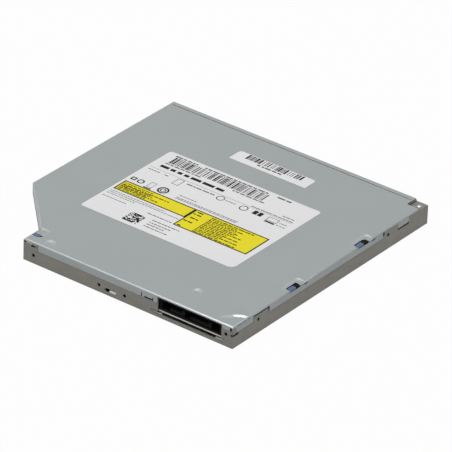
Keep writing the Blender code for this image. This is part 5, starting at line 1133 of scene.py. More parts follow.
boardLayout = {
    "top": 3.1,
    "seed": 4,
    "clusters": [
        # left, right, front, rear, count
        (-43.5, -21.5, 39.2, 44.5, 16),
        (-42.5, -27.5, 45.5, 54.0, 12),
        (-21.5, -4.5, 38.6, 41.6, 9),
        (-3.4, 5.0, 39.0, 44.8, 7),
        (-3.2, 5.2, 46.0, 60.0, 10),
        (17.0, 29.0, 44.5, 55.0, 10),
        (7.0, 22.5, 56.8, 61.2, 8),
        (7.0, 23.0, 38.4, 44.5, 9),
        (-19.0, -5.0, 58.2, 61.2, 8),
    ],
    # length, width and height of the small parts
    "passives": ((1.0, 0.5, 0.35), (1.6, 0.8, 0.45), (1.0, 0.5, 0.5), (2.0, 1.25, 0.8)),
    "pitch": (3.0, 1.9),
    "crystal": (-31.5, 41.2, 4.6, 2.6, 0.9),
    "coil": (24.6, 50.0, 2.0, 1.2),
    "coilTurns": 5,
    "testPads": [(-25.0, 47.0), (-25.0, 49.5), (-25.0, 52.0), (20.0, 42.0), (22.5, 46.2)],
    "plugTails": {
        "pitch": 1.0, "starts": (-52.6, -39.6), "counts": (10, 7), "y": 56.35, "wire": 0.13,
        "line": ((0.3, 1.2), (-0.35, 1.2), (-0.55, 0.9), (-0.6, 0.15), (-1.3, 0.1)),
    },
}


def addPassive(bm, x, y, z, size, along):
    # A small chip part: coloured body with two tinned ends
    length, width, height = size
    half, side = length / 2, width / 2
    cap = length * 0.24

    def addSpan(first, last, inset, finish, chamfer):
        wide = side - inset
        low, high = (x + first, y - wide, z + inset), (x + last, y + wide, z + height - inset)
        if not along:
            low, high = (x - wide, y + first, z + inset), (x + wide, y + last, z + height - inset)
        addBlock(bm, low, high, finish, 0.0, chamfer)

    addSpan(cap * 0.8 - half, half - cap * 0.8, 0.02, 1, 0.0)
    addSpan(-half, cap - half, 0.0, 0, 0.03)
    addSpan(half - cap, half, 0.0, 0, 0.03)


def makeBoardParts():
    layout = boardLayout
    draw = random.Random(layout["seed"])
    top = layout["top"]
    bm = bmesh.new()
    pitch, rowPitch = layout["pitch"]
    for left, right, front, rear, count in layout["clusters"]:
        columns = max(1, int((right - left) / pitch))
        gap = (right - left - 2.4) / max(1, columns - 1)
        for place in range(count):
            column, row = place % columns, place // columns
            x = left + 1.2 + column * gap + draw.uniform(-0.3, 0.3)
            y = front + 0.9 + row * rowPitch + draw.uniform(-0.2, 0.2)
            if y > rear - 0.8:
                continue
            size = draw.choice(layout["passives"])
            addPassive(bm, x, y, top, size, draw.random() < 0.6)
    x, y, length, width, height = layout["crystal"]
    addPad(bm, x, y, (length / 2, width / 2), (top, top + 0.3), 0, 0.5, 0.05)
    addPad(bm, x, y, (length / 2 - 0.3, width / 2 - 0.3), (top + 0.28, top + height), 0, 0.7, 0.12)
    x, y, radius, height = layout["coil"]
    waist, crown = radius * 0.7, top + height
    profile = [(radius * 0.5, top), (radius, top), (radius, top + 0.2), (waist, top + 0.22)]
    profile += [(waist, crown - 0.2), (radius, crown - 0.18), (radius, crown - 0.04), (radius * 0.92, crown)]
    addTurned(bm, profile, x, y, 2)
    for turn in range(layout["coilTurns"]):
        level = top + 0.3 + turn * 0.14
        loop = [(a, b, level) for a, b in roundPoints(radius * 0.76, 24, x, y)]
        addTube(bm, loop, 0.075, 3, 6, closed=True)
    for x, y in layout["testPads"]:
        addTurned(bm, [(0.5, top - 0.01), (0.5, top + 0.03), (0.42, top + 0.05)], x, y, 0, steps=20)
    tails = layout["plugTails"]
    y = tails["y"]
    for start, count in zip(tails["starts"], tails["counts"]):
        for place in range(count):
            x = start + place * tails["pitch"]
            line = [(x, y + along, top + rise) for along, rise in tails["line"]]
            addTube(bm, line, tails["wire"], 4, 6)
            addPad(bm, x, y - 1.0, (0.25, 0.5), (top - 0.01, top + 0.07), 0, 0.1)
    finishes = (solderFinish, ceramicFinish, connectorFinish, copperFinish, goldFinish)
    newPiece("boardParts", bm, finishes, "case")


chipStyle = {
    "controller_chip": {"pins": 24, "pitch": 0.5, "foot": 0.7},
    "motor_driver_chip": {"pins": 12, "pitch": 0.65, "foot": 0.6},
    "corner": 0.25,
    "belt": 0.06,
    "pinWidth": 0.24,
    "pinSheet": 0.14,
    "dimple": 0.5,
    "dimpleInset": 1.2,
}


def makeChip(node):
    style, pins = chipStyle, chipStyle[node]
    low, high = boxOf(node)
    x, y, _ = middleOf(node)
    half = (high[0] - low[0]) / 2
    body = half - pins["foot"]
    seat, top = boardLayout["top"], high[2]
    middle, belt = (low[2] + top) / 2, style["belt"]
    bm = bmesh.new()
    rings = []
    levels = ((0.12, low[2]), (0.0, middle - belt), (0.0, middle + belt), (0.12, top - 0.04), (0.2, top))
    for inset, height in levels:
        side = body - inset
        outline = rectPoints(x - side, x + side, y - side, y + side, style["corner"], 3)
        rings.append([(a, b, height) for a, b in outline])
    addLoft(bm, rings, 0)
    radius, inset = style["dimple"], style["dimpleInset"]
    profile = [(radius, top - 0.01), (radius, top + 0.006), (radius * 0.7, top + 0.004)]
    addTurned(bm, profile, x - body + inset, y + body - inset, 2, steps=24)
    wide, sheet = style["pinWidth"] / 2, style["pinSheet"]
    over, under = middle + sheet / 2, middle - sheet / 2
    shape = [
        (body - 0.05, over), (body + 0.16, over), (body + 0.34, seat + sheet + 0.03), (half, seat + sheet),
        (half, seat), (body + 0.26, seat), (body + 0.1, under), (body - 0.05, under),
    ]
    first = -(pins["pins"] - 1) / 2 * pins["pitch"]
    for turn in range(4):
        spin = Matrix.Rotation(math.radians(90 * turn), 3, "Z")
        for pin in range(pins["pins"]):
            along = first + pin * pins["pitch"]
            rings = []
            for side in (along - wide, along + wide):
                points = [spin @ Vector((reach, side, height)) for reach, height in shape]
                rings.append([(x + point.x, y + point.y, point.z) for point in points])
            addLoft(bm, rings, 1)
    finishes = (connectorFinish, solderFinish, greyFinish)
    newPiece(node + ".leads", bm, finishes, "case", [node])


plugContacts = {
    "groups": [(-53.2, -43.2, 7, 1.27), (-40.4, -33.4, 6, 1.0)],
    "width": 0.62,
    "under": 4.5,
    "sink": 0.11,
    "front": 57.5,
    "rear": 62.1,
}


def makePlugContacts():
    # Gold blades under the two tongues of the rear connector
    size = plugContacts
    half, front, rear = size["width"] / 2, size["front"], size["rear"]
    under, upper, lower = size["under"], size["under"] + 0.02, size["under"] - size["sink"]
    shape = [
        (front, upper), (rear - 0.3, upper), (rear, under + 0.14), (rear, upper), (rear - 0.35, lower),
        (front, lower),
    ]
    bm = bmesh.new()
    for left, right, count, pitch in size["groups"]:
        first = (left + right) / 2 - (count - 1) * pitch / 2
        for place in range(count):
            x = first + place * pitch
            addLoft(bm, [[(side, y, z) for y, z in shape] for side in (x - half, x + half)])
    newPiece("plugContacts", bm, (goldFinish,), "case")


socketLatch = {
    "lift": 0.25,
    "depth": 1.5,
    "hinge": 0.35,
    "contacts": 20,
    "wire": 0.09,
    # how far each foot reaches behind the socket, and its height there
    "foot": ((-0.3, 3.3), (0.35, 3.24), (0.7, 3.18)),
}


def makeSocketLatch():
    # The dark flip bar that clamps the cable in its socket, and the solder feet behind it
    size = socketLatch
    low, high = boxOf("cable_socket")
    top, rear, hinge = high[2], low[1] + size["depth"], size["hinge"]
    bm = bmesh.new()
    bar = ((low[0] + 0.4, low[1] + 0.15, top - 0.02), (high[0] - 0.4, rear, top + size["lift"]))
    addBlock(bm, *bar, 0, 0.15, 0.06)
    for side in (low[0] + 0.55, high[0] - 0.55):
        profile = [(0.1, side - 0.35), (hinge, side - 0.3), (hinge, side + 0.3), (0.1, side + 0.35)]
        addTurned(bm, profile, rear, top + 0.02, 0, "x", 16)
    step = (high[0] - low[0] - 1.4) / (size["contacts"] - 1)
    for place in range(size["contacts"]):
        x = low[0] + 0.7 + place * step
        addTube(bm, [(x, high[1] + reach, level) for reach, level in size["foot"]], size["wire"], 1, 6)
    newPiece("socketLatch", bm, (connectorFinish, solderFinish), "case")


makeBoardParts()
makeChip("controller_chip")
makeChip("motor_driver_chip")
makePlugContacts()
makeSocketLatch()
print("stage: main board dressed")


# Flat cable and ejector spring

cableSize = {
    "left": -56.9,
    "right": -46.1,
    "sheet": 0.16,
    "softEdge": 0.12,
    "socketY": 38.6,
    "socketZ": 3.6,
    "bend": 1.2,
    "lowZ": 0.72,
    "foldY": -34.0,
    "foldRadius": 1.05,
    "endY": 33.0,
    "topZ": 5.17,
    "joinY": 28.6,
    # the share of its length that the upper run keeps when it is squashed
    "share": 0.0256,
}


def makeRun(name, line, body=None):
    # A flat strip of the cable along a line of (y, z), with soft long edges
    size = cableSize
    half = size["sheet"] / 2
    left, right, soft = size["left"], size["right"], size["softEdge"]
    rings = []
    for place, (y, z) in enumerate(line):
        before = line[max(place - 1, 0)]
        after = line[min(place + 1, len(line) - 1)]
        way = Vector((after[0] - before[0], after[1] - before[1])).normalized()
        over = (y - way.y * half, z + way.x * half)
        under = (y + way.y * half, z - way.x * half)
        ring = [(left, y, z), (left + soft, *over), (right - soft, *over), (right, y, z)]
        rings.append(ring + [(right - soft, *under), (left + soft, *under)])
    bm = bmesh.new()
    addLoft(bm, rings)
    return newPiece(name, bm, (cableFinish,), body, ["tray_cable"])


def arcLine(y, z, radius, first, last, steps):
    points = []
    for step in range(steps + 1):
        turn = math.radians(first + (last - first) * step / steps)
        points.append((y + radius * math.cos(turn), z + radius * math.sin(turn)))
    return points


def evenLine(start, end, z, steps):
    return [(start + (end - start) * step / steps, z) for step in range(steps + 1)]


def makeCable():
    size = cableSize
    bend, radius = size["bend"], size["foldRadius"]
    socketY, socketZ, foldY, lowZ = size["socketY"], size["socketZ"], size["foldY"], size["lowZ"]
    drop = socketY - 2 * bend
    lower = [(socketY + bend, socketZ), (socketY, socketZ)]
    lower += arcLine(drop + bend, socketZ - bend, bend, 90, 180, 8)
    lower += arcLine(drop - bend, lowZ + bend, bend, 360, 270, 8)
    lower += evenLine(drop - bend - 1, foldY, lowZ, 40)
    piece = makeRun("cableLowerRun", lower)
    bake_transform(piece)
    makeRun("cableFold", arcLine(foldY, lowZ + radius, radius, 270, 90, 14), "left_slide")
    upper = lowZ + 2 * radius
    piece = makeRun("cableUpperRun", evenLine(foldY, size["joinY"], upper, 40), "tray")
    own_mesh(piece)
    endY, topZ = size["endY"], size["topZ"]
    end = [(size["joinY"] - 0.1, upper), (size["joinY"] + 0.3, upper), (endY - 3.4, upper + 0.15)]
    end += [(endY - 2.2, upper + 1.1), (endY - 1.6, topZ - 0.12), (endY - 1.1, topZ), (endY, topZ)]
    makeRun("cableTrayEnd", end, "tray")


springSize = {"x": 33.45, "z": 2.7, "front": 51.2, "rear": 57.2, "coil": 0.7, "wire": 0.11, "turns": 9}


def makeSpring():
    size = springSize
    steps = size["turns"] * 20
    line = []
    for step in range(steps + 1):
        share = step / steps
        turn = 2 * math.pi * size["turns"] * share
        # the end turns lie close, as on a ground spring
        y = size["front"] + (size["rear"] - size["front"]) * (share - 0.04 * math.sin(2 * math.pi * share))
        line.append((size["x"] + size["coil"] * math.cos(turn), y, size["z"] + size["coil"] * math.sin(turn)))
    bm = bmesh.new()
    addTube(bm, line, size["wire"], 0, 8)
    piece = newPiece("ejectorCoil", bm, (brightFinish,), None, ["ejector_spring"])
    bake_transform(piece)


makeCable()
makeSpring()
print("stage: cable and spring laid")


# Tray: spindle

spindleSize = {
    "x": 0.0,
    "y": 0.3,
    "core": {"half": 0.62, "sheets": 4, "inner": 4.6, "outer": 5.6},
    "teeth": 9,
    # reach and half width of a tooth, from the core out
    "tooth": ((5.3, 0.7), (9.6, 0.7), (9.75, 2.0), (10.55, 2.1)),
    "coil": {"from": 6.2, "to": 9.2, "turns": 9, "wire": 0.14, "side": (0.88, 1.15), "level": (0.78, 1.05)},
    "cup": [
        (12.0, 2.1), (12.0, 4.1), (11.7, 4.42), (10.9, 4.47), (10.7, 4.62), (2.2, 4.65), (2.2, 4.3),
        (10.4, 4.25), (11.4, 4.0), (11.4, 2.1),
    ],
    "magnet": [(11.38, 2.15), (11.38, 3.95), (11.0, 3.9), (11.0, 2.15)],
    "padIn": 10.05,
    "padOut": 12.95,
    "padRibs": 60,
    "padRound": 0.12,
    "padGroove": 0.06,
    "capRing": [(2.0, 7.88), (2.0, 8.02), (2.3, 8.12), (4.9, 8.12), (5.4, 8.0), (5.6, 7.88)],
}


def makeStator():
    size = spindleSize
    x, y = size["x"], size["y"]
    middle = middleOf("spindle_stator")[2]
    core, coil = size["core"], size["coil"]
    half, inner, outer = core["half"], core["inner"], core["outer"]
    bm = bmesh.new()
    for sheet in range(core["sheets"]):
        level = middle - half + sheet * half * 0.5
        top = level + half * 0.46
        profile = [(inner, level), (outer, level), (outer, top), (inner, top)]
        addTurned(bm, profile, x, y, 1, steps=36, closed=True)
    for tooth in range(size["teeth"]):
        spin = Matrix.Rotation(2 * math.pi * tooth / size["teeth"], 3, "Z")

        def turned(points):
            moved = [spin @ Vector(point) for point in points]
            return [(point.x + x, point.y + y, point.z) for point in moved]

        rings = []
        for reach, side in size["tooth"]:
            ring = [(reach, -side, middle - half), (reach, side, middle - half)]
            rings.append(turned(ring + [(reach, side, middle + half), (reach, -side, middle + half)]))
        addLoft(bm, rings, 1)
        line = []
        steps = coil["turns"] * 16
        for step in range(steps + 1):
            share = step / steps
            turn = 2 * math.pi * coil["turns"] * share
            reach = coil["from"] + (coil["to"] - coil["from"]) * share
            most, swing = coil["side"]
            side = max(-most, min(most, swing * math.cos(turn)))
            most, swing = coil["level"]
            level = max(-most, min(most, swing * math.sin(turn)))
            line.append((reach, side, middle + level))
        addTube(bm, turned(line), coil["wire"], 0, 6)
    newPiece("statorCoils", bm, (copperFinish, darkFinish), "tray", ["spindle_stator"])


def makeRotor():
    size = spindleSize
    x, y = size["x"], size["y"]
    bm = bmesh.new()
    addTurned(bm, size["cup"], x, y, 0, steps=72, closed=True)
    addTurned(bm, size["magnet"], x, y, 1, steps=72, closed=True)
    newPiece("rotorCup", bm, (brightFinish, darkFinish), "spindle", ["spindle_rotor"])

    # The rubber ring that grips the disc, with fine grooves across it
    low, high = boxOf("turntable_pad")
    base, top = low[2], high[2]
    inner, outer, soft = size["padIn"], size["padOut"], size["padRound"]
    profile = [(inner, base), (outer, base), (outer, top - soft), (outer - soft, top - 0.02)]
    profile += [(inner + soft, top - 0.02), (inner, top - soft)]
    bm = bmesh.new()
    count = size["padRibs"] * 4
    rings = []
    for reach, level in profile:
        ring = []
        for step, (a, b) in enumerate(roundPoints(reach, count, x, y)):
            groove = size["padGroove"] if level > base + 0.1 and step % 4 == 0 else 0.0
            ring.append((a, b, level - groove))
        rings.append(ring)
    addLoft(bm, rings, 0, closed=True)
    newPiece("turntableRubber", bm, (rubberFinish,), "spindle", ["turntable_pad"])

    bm = bmesh.new()
    addTurned(bm, size["capRing"], x, y, 0, steps=48, closed=True)
    newPiece("hubCapRing", bm, (blackFinish,), "spindle")


makeStator()
makeRotor()
print("stage: spindle wound")


# Tray: rods, feed motor and lead screw

feedSize = {
    "rodChamfer": 0.25,
    "lead": 3.0,
    "crest": 0.75,
    "root": 0.6,
    "stepLength": 0.1,
    "ringSteps": 24,
    "plainEnd": 1.2,
    # the share of each turn that is cut away
    "groove": (0.12, 0.5),
    "endShare": 0.72,
    "canRadius": 1.4,
    "canSeam": 0.07,
    "terminals": 4,
    "terminalPitch": 1.2,
}


def makeRods():
    for node in ("guide_rod_left", "guide_rod_right"):
        (left, front, _), (right, rear, _) = boxOf(node)
        x, _, z = middleOf(node)
        radius, cut = (right - left) / 2, feedSize["rodChamfer"]
        profile = [(radius - cut, front), (radius, front + cut), (radius, rear - cut), (radius - cut, rear)]
        bm = bmesh.new()
        addTurned(bm, profile, z, x, 0, "y")
        newPiece(node + ".ground", bm, (brightFinish,), "tray", [node])


def makeLeadScrew():
    size = feedSize
    low, high = boxOf("lead_screw")
    x, _, z = middleOf("lead_screw")
    front, rear = low[1], high[1]
    count = int((rear - front) / size["stepLength"])
    first, last = size["groove"]
    rings = []
    for step in range(count + 1):
        y = front + (rear - front) * step / count
        threaded = front + size["plainEnd"] <= y <= rear - size["plainEnd"]
        ring = []
        for place in range(size["ringSteps"]):
            turn = 2 * math.pi * place / size["ringSteps"]
            share = (y / size["lead"] - turn / (2 * math.pi)) % 1.0
            radius = size["root"] if threaded and first < share < last else size["crest"]
            if step in (0, count):
                radius *= size["endShare"]
            ring.append((x + radius * math.sin(turn), y, z + radius * math.cos(turn)))
        rings.append(ring)
    bm = bmesh.new()
    addLoft(bm, rings)
    newPiece("leadScrewCut", bm, (brightFinish,), "feed_screw", ["lead_screw"], 40)


def makeFeedMotor():
    size = feedSize
    low, high = boxOf("feed_motor")
    x, middle, z = middleOf("feed_motor")
    front, rear = low[1], high[1]
    radius = size["canRadius"]
    seam = radius - size["canSeam"]
    profile = [
        (radius * 0.5, front), (radius - 0.12, front), (radius, front + 0.12), (radius, middle - 0.18),
        (seam, middle - 0.12), (seam, middle + 0.12), (radius, middle + 0.18), (radius, rear - 0.3),
        (radius - 0.1, rear - 0.24), (radius - 0.1, rear - 0.06), (radius - 0.16, rear), (0.78, rear),
        (0.78, rear - 0.2), (0.7, rear - 0.2),
    ]
    bm = bmesh.new()
    addTurned(bm, profile, z, x, 0, "y", 40)
    for place in range(size["terminals"]):
        y = middle - 1.8 + place * size["terminalPitch"]
        addPad(bm, x, y, (0.18, 0.3), (z + radius - 0.12, z + radius), 1, 0.08)
    newPiece("feedMotorCan", bm, (castFinish, goldFinish), "tray", ["feed_motor"])


makeRods()
makeLeadScrew()
makeFeedMotor()
print("stage: feed drive cut")


# Tray: pickup and lens

pickupSize = {
    # left, right, front, rear, underside and top
    "magnets": [(-4.4, 4.4, -26.65, -26.05, 3.9, 4.9), (-4.4, 4.4, -20.55, -19.85, 3.9, 4.9)],
    "flex": (-9.0, 6.0, -18.9, -12.2),
    "flexPads": 8,
    "flexParts": 3,
    "flexPart": (1.0, 0.5, 0.35),
    "adjusters": [(-13.0, -24.6), (13.0, -24.6), (9.6, -13.6), (-10.0, -14.0)],
    "laser": (-16.6, -19.6, 1.7),
    "wireSides": (-5.9, 5.9),
    "wireLevels": (3.8, 4.2, 4.6),
    "wireRear": -19.9,
    "focusCoil": {"middles": (-2.6, 2.6), "turns": 4, "low": 3.75, "high": 4.95, "wire": 0.07},
    "lensX": 0.0,
    "lensY": -23.3,
    "lensRadius": 2.0,
    "lensDome": 0.42,
    "lensSteps": 10,
    "rimWidth": 0.25,
}


def makePickupFittings():
    size = pickupSize
    top = boxOf("pickup_body")[1][2]
    bm = bmesh.new()
    for left, right, front, rear, under, upper in size["magnets"]:
        addBlock(bm, (left, front, under), (right, rear, upper), 1, 0.0, 0.08)
    left, right, front, rear = size["flex"]
    addBlock(bm, (left, front, top - 0.02), (right, rear, top + 0.09), 2, 0.7)
    addBlock(bm, (left + 1.0, front + 1.0, top + 0.08), (left + 6.4, front + 5.2, top + 0.55), 1, 0.2, 0.08)
    for place in range(size["flexPads"]):
        x = left + 8.0 + place * 0.8
        addPad(bm, x, rear - 1.1, (0.2, 0.7), (top + 0.07, top + 0.15), 3, 0.08)
    for place in range(size["flexParts"]):
        addPassive(bm, right - 3.4 + place * 1.3, front + 1.6, top + 0.09, size["flexPart"], False)
    rim = [(0.9, top - 0.02), (0.9, top + 0.14), (0.78, top + 0.22), (0.5, top + 0.22), (0.42, top + 0.08)]
    for x, y in size["adjusters"]:
        addTurned(bm, rim, x, y, 0)
    x, y, radius = size["laser"]
    profile = [(radius, top - 0.02), (radius, top + 0.2), (radius - 0.25, top + 0.32)]
    addTurned(bm, profile + [(radius - 0.6, top + 0.32), (radius - 0.7, top + 0.2)], x, y, 3)
    finishes = (castFinish, darkFinish, flexFinish, goldFinish)
    newPiece("pickupFittings", bm, finishes, "pickup")


def makeFocusCoils():
    # The sprung wires that carry the lens holder, and the flat coils on its two faces
    size = pickupSize
    low, high = boxOf("lens_holder")
    lensY = size["lensY"]
    bm = bmesh.new()
    for side in size["wireSides"]:
        root = side - math.copysign(0.35, side)
        for level in size["wireLevels"]:
            line = [(root, lensY - 1.0, level), (side, lensY + 0.3, level), (side, size["wireRear"], level)]
            addTube(bm, line, 0.05, 0, 6)
    coil = size["focusCoil"]
    centre = (coil["low"] + coil["high"]) / 2
    for front in (low[1] - 0.01, high[1] - 0.19):
        for turn in range(coil["turns"]):
            half = 0.5 + turn * 0.3
            shrink = 1 - (coil["turns"] - 1 - turn) * 0.2
            for middle in coil["middles"]:
                outline = rectPoints(middle - half, middle + half, coil["low"], coil["high"], 0.3, 3)
                loop = [(a, front + 0.1, centre + (b - centre) * shrink) for a, b in outline]
                addTube(bm, loop, coil["wire"], 1, 5, closed=True)
    newPiece("focusCoils", bm, (goldFinish, copperFinish), "lens")


def makeLens():
    size = pickupSize
    low, high = boxOf("objective_lens")
    radius, rise = size["lensRadius"], size["lensDome"]
    clear, base = radius - size["rimWidth"], high[2] - rise
    profile = [(radius - 0.1, low[2]), (radius, low[2] + 0.06), (radius, base - 0.04), (radius - 0.05, base)]
    profile.append((clear, base))
    for step in range(1, size["lensSteps"] + 1):
        turn = math.pi / 2 * step / size["lensSteps"]
        profile.append((clear * math.cos(turn), base + rise * math.sin(turn)))
    bm = bmesh.new()
    addTurned(bm, profile, size["lensX"], size["lensY"], 0, steps=48)
    newPiece("lensDome", bm, (glassFinish,), "lens", ["objective_lens"], 50)


makePickupFittings()
makeFocusCoils()
makeLens()
print("stage: pickup dressed")


# Tray: dampers, traverse cover and front board

damperSize = {"neck": 1.8, "bore": 1.0, "lip": 0.42, "round": 0.1}


def makeDamper(node):
    size = damperSize
    low, high = boxOf(node)
    x, y, _ = middleOf(node)
    base, top = low[2], high[2]
    radius = (high[0] - low[0]) / 2
    bore, neck, lip, soft = size["bore"], size["neck"], size["lip"], size["round"]
    profile = [
        (bore, base), (radius - soft, base), (radius, base + soft), (radius, base + lip - soft),
        (radius - soft, base + lip), (neck + 0.1, base + lip), (neck, base + lip + 0.1),
        (neck, top - lip - 0.1), (neck + 0.1, top - lip), (radius - soft, top - lip),
        (radius, top - lip + soft), (radius, top - soft), (radius - soft, top), (bore, top),
    ]
    bm = bmesh.new()
    addTurned(bm, profile, x, y, 0, steps=36, closed=True)
    newPiece(node + ".bush", bm, (rubberFinish,), "tray", [node])


for place in range(1, 4):
    makeDamper(f"damper_{place}")

beadSize = {
    "base": 5.44,
    "rise": 0.13,
    "half": 0.8,
    # shares of the half width and of the rise, from the foot up
    "slope": ((1.0, 0.0), (0.92, 0.35), (0.7, 0.75), (0.35, 1.0)),
    "beads": [
        ((-19.5, -52.0), (-19.5, -22.0)), ((19.5, -52.0), (19.5, -22.0)), ((-23.2, -16.0), (-23.2, 8.0)),
        ((23.2, -16.0), (23.2, 8.0)), ((-13.0, -55.5), (-9.5, -55.5)), ((9.5, -55.5), (13.0, -55.5)),
    ],
}


def makeBeads():
    # Stamped stiffening beads of the traverse cover
    size = beadSize
    bm = bmesh.new()
    for (x0, y0), (x1, y1) in size["beads"]:
        start, end = Vector((x0, y0)), Vector((x1, y1))
        way = (end - start).normalized()
        across = Vector((-way.y, way.x))
        rings = []
        for share, scale in size["slope"]:
            ring = []
            reach = size["half"] * share
            for centre, first in ((end, -90), (start, 90)):
                for step in range(9):
                    turn = math.radians(first + 180 * step / 8)
                    point = centre + way * (math.cos(turn) * reach) + across * (math.sin(turn) * reach)
                    ring.append((point.x, point.y, size["base"] + size["rise"] * scale))
            rings.append(ring)
        addLoft(bm, rings)
    newPiece("traverseBeads", bm, (coverFinish,), "tray", smooth=60)


frontBoardSize = {
    "top": 5.9,
    "parts": [
        (42.4, -57.6), (42.4, -55.6), (44.8, -57.0), (47.2, -55.4), (55.6, -57.8), (57.4, -57.8),
        (55.8, -54.0), (58.2, -54.6),
    ],
    "part": (1.6, 0.8, 0.45),
    "plug": (46.4, 53.4, -54.6, -52.3, 0.9),
    "pins": 10,
    "pinWire": 0.09,
    # each pin's way out of the plug and down to the board
    "pinLine": ((0.1, 0.35), (-0.25, 0.3), (-0.4, 0.08), (-0.8, 0.06)),
}


def makeFrontBoard():
    size = frontBoardSize
    top = size["top"]
    bm = bmesh.new()
    for place, (x, y) in enumerate(size["parts"]):
        addPassive(bm, x, y, top, size["part"], place % 2 == 0)
    left, right, front, rear, height = size["plug"]
    addBlock(bm, (left, front, top), (right, rear, top + height), 2, 0.15, 0.08)
    for place in range(size["pins"]):
        x = left + 0.6 + place * (right - left - 1.2) / (size["pins"] - 1)
        line = [(x, front + reach, top + rise) for reach, rise in size["pinLine"]]
        addTube(bm, line, size["pinWire"], 0, 6)
    newPiece("frontBoardParts", bm, (solderFinish, ceramicFinish, whiteFinish), "tray")


def makeEjectSwitch():
    # The switch behind the eject button: grey body, steel lid with pips, round stem and four feet
    (left, front, base), (right, rear, top) = boxOf("eject_switch")
    x, _, z = middleOf("eject_switch")
    bm = bmesh.new()
    addBlock(bm, (left, front + 0.3, base), (right, rear, top - 0.25), 0, 0.3, 0.08)
    addBlock(bm, (left + 0.1, front + 0.6, top - 0.3), (right - 0.1, rear - 0.2, top - 0.05), 1, 0.3, 0.06)
    addTurned(bm, [(0.75, front + 0.32), (0.75, front + 0.1), (0.65, front)], z, x, 0, "y", 24)
    for side in (left, right):
        for y in (front + 1.0, rear - 0.6):
            addPad(bm, side, y, (0.45, 0.25), (base, base + 0.14), 1, 0.08)
    for y in (front + 0.85, rear - 0.5):
        for side in (left + 0.7, right - 0.7):
            addTurned(bm, [(0.22, top - 0.05), (0.18, top - 0.01)], side, y, 0, steps=12)
    newPiece("ejectSwitchShell", bm, (greyFinish, solderFinish), "tray", ["eject_switch"])


makeBeads()
makeFrontBoard()
makeEjectSwitch()
print("stage: traverse and front board dressed")


# Tray: the lock's coil

coilSize = {"yoke": 0.9, "wire": 0.16, "turns": 21, "corner": 0.9, "gap": 0.25}


def makeLockCoil():
    size = coilSize
    (x0, y0, z0), (x1, y1, z1) = boxOf("lock_magnet")
    yoke, gap, wire = size["yoke"], size["gap"], size["wire"]
    bm = bmesh.new()
    for first, last in ((x0, x0 + yoke), (x1 - yoke, x1)):
        addBlock(bm, (first, y0, z0), (last, y1, z1), 0, 0.0, 0.1)
    addBlock(bm, (x0 + yoke * 0.5, y0, z0), (x1 - yoke * 0.5, y0 + yoke, z1 - 0.3), 0, 0.0, 0.1)
    front, rear = y0 + yoke + gap, y1 - gap
    under, upper = z0 + 0.25, z1 - 0.2
    left, right = x0 + yoke, x1 - yoke
    core = rectPoints(front + 0.3, rear - 0.3, under + 0.3, upper - 0.3, size["corner"])
    addPrism(bm, core, left, right, 2, "x")
    outline = rectPoints(front + wire, rear - wire, under + wire, upper - wire, size["corner"], 5)
    step = (right - left - 0.4) / size["turns"]
    for turn in range(size["turns"]):
        x = left + 0.2 + (turn + 0.5) * step
        addTube(bm, [(x, y, z) for y, z in outline], wire, 1, 8, closed=True)
    newPiece("lockCoil", bm, (castFinish, copperFinish, blackFinish), "tray", ["lock_magnet"])


makeLockCoil()
print("stage: lock coil wound")


# Floor, light and camera

studio = {
    "floorColor": (226, 226, 226),
    "floorMottle": (600, 0.004),
    "floorRoughness": 0.9,
    "floorShine": 0.1,
    "floorSpan": 9.0,
    "floorGlow": 0.97,
    "worldLight": 0.2,
    "lamps": {
        "topLamp": {"size": 2.6, "power": 26.0, "place": (0.25, 0.5, 2.2)},
        "keyLamp": {"size": 0.6, "power": 7.0, "place": (0.5, -0.6, 1.95)},
        "foldLamp": {"size": 0.5, "power": 1.4, "place": (0.95, 0.85, 1.25)},
        "sideLamp": {"size": 1.2, "power": 1.2, "place": (-1.1, 1.5, 0.75)},
    },
}


def whiteRays(tree, cameraShare):
    # 1 for rays that come by way of shine or glass, and this much for rays straight from the camera
    rays = addNode(tree, "LightPath").outputs
    shown = calc(tree, "MULTIPLY", rays["Is Camera Ray"], cameraShare)
    for kind in ("Is Glossy Ray", "Is Transmission Ray"):
        shown = calc(tree, "MAXIMUM", shown, rays[kind])
    return shown


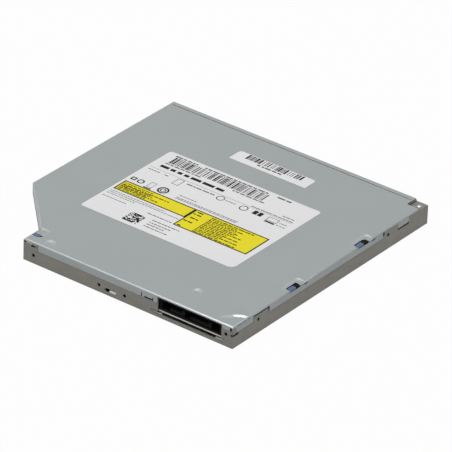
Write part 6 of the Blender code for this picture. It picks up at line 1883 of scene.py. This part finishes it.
def makeFloor():
    # Seen and mirrored as plain white, but lit as pale ground where it throws light back
    material = bpy.data.materials.new("paleFloor")
    material.use_nodes = True
    tree = material.node_tree
    shader = tree.nodes["Principled BSDF"]
    place = addNode(tree, "TexCoord").outputs["Object"]
    size, share = studio["floorMottle"]
    color = vary(tree, tone(studio["floorColor"]), noiseOf(tree, place, size), share)
    tree.links.new(color, shader.inputs["Base Color"])
    shader.inputs["Roughness"].default_value = studio["floorRoughness"]
    shader.inputs["Specular IOR Level"].default_value = studio["floorShine"]
    glow = addNode(tree, "Emission", {"Color": (1, 1, 1, 1), "Strength": 1.0})
    sockets = {0: whiteRays(tree, studio["floorGlow"]), 1: shader.outputs[0], 2: glow.outputs[0]}
    mixed = addNode(tree, "MixShader", sockets)
    tree.links.new(mixed.outputs[0], tree.nodes["Material Output"].inputs["Surface"])
    half, drop = studio["floorSpan"] / 2, -0.0001
    mesh = bpy.data.meshes.new("paleFloor")
    corners = [(x, y, drop) for x, y in rectPoints(-half, half, -half, half)]
    mesh.from_pydata(corners, [], [(0, 1, 2, 3)])
    floor = bpy.data.objects.new("paleFloor", mesh)
    mesh.materials.append(material)
    bpy.context.scene.collection.objects.link(floor)


def makeWorld():
    world = bpy.data.worlds.new("softStudio")
    world.use_nodes = True
    tree = world.node_tree
    strength = spread(tree, whiteRays(tree, 1.0), studio["worldLight"], 1.0, 0.0, 1.0)
    background = tree.nodes["Background"]
    background.inputs["Color"].default_value = (1, 1, 1, 1)
    tree.links.new(strength, background.inputs["Strength"])
    bpy.context.scene.world = world


def makeLamps():
    # Square lamps that all point at the middle of the drive
    for name, size in studio["lamps"].items():
        lamp = bpy.data.lights.new(name, "AREA")
        lamp.shape = "SQUARE"
        lamp.size = size["size"]
        lamp.energy = size["power"]
        holder = bpy.data.objects.new(name, lamp)
        holder.location = size["place"]
        holder.rotation_euler = (-Vector(size["place"])).to_track_quat("-Z", "Y").to_euler()
        bpy.context.scene.collection.objects.link(holder)


cameraPlace = {
    "azimuth": 216.6386,
    "elevation": 29.8324,
    "distance": 1783.46,
    "target": (-5.2628, -8.9905, 0.0),
    "roll": 2.1877,
    "lens": 360.93,
    "sensor": 36.0,
    "farthest": 20,
}


def makeCamera():
    place = cameraPlace
    turn, rise = math.radians(place["azimuth"]), math.radians(place["elevation"])
    back = Vector((math.sin(turn) * math.cos(rise), -math.cos(turn) * math.cos(rise), math.sin(rise)))
    right = Vector((-back.y, back.x, 0)).normalized()
    up = back.cross(right)
    basis = Matrix((right, up, back)).transposed() @ Matrix.Rotation(math.radians(place["roll"]), 3, "Z")
    camera = bpy.data.cameras.new("photoCamera")
    camera.lens = place["lens"]
    camera.sensor_width = place["sensor"]
    camera.clip_end = place["farthest"]
    holder = bpy.data.objects.new("photoCamera", camera)
    spot = (Vector(place["target"]) + back * place["distance"]) * mm
    holder.matrix_world = Matrix.Translation(spot) @ basis.to_4x4()
    bpy.context.scene.collection.objects.link(holder)
    bpy.context.scene.camera = holder


makeFloor()
makeWorld()
makeLamps()
makeCamera()
bpy.context.scene.view_settings.view_transform = "Standard"
print("stage: floor, light and camera set")
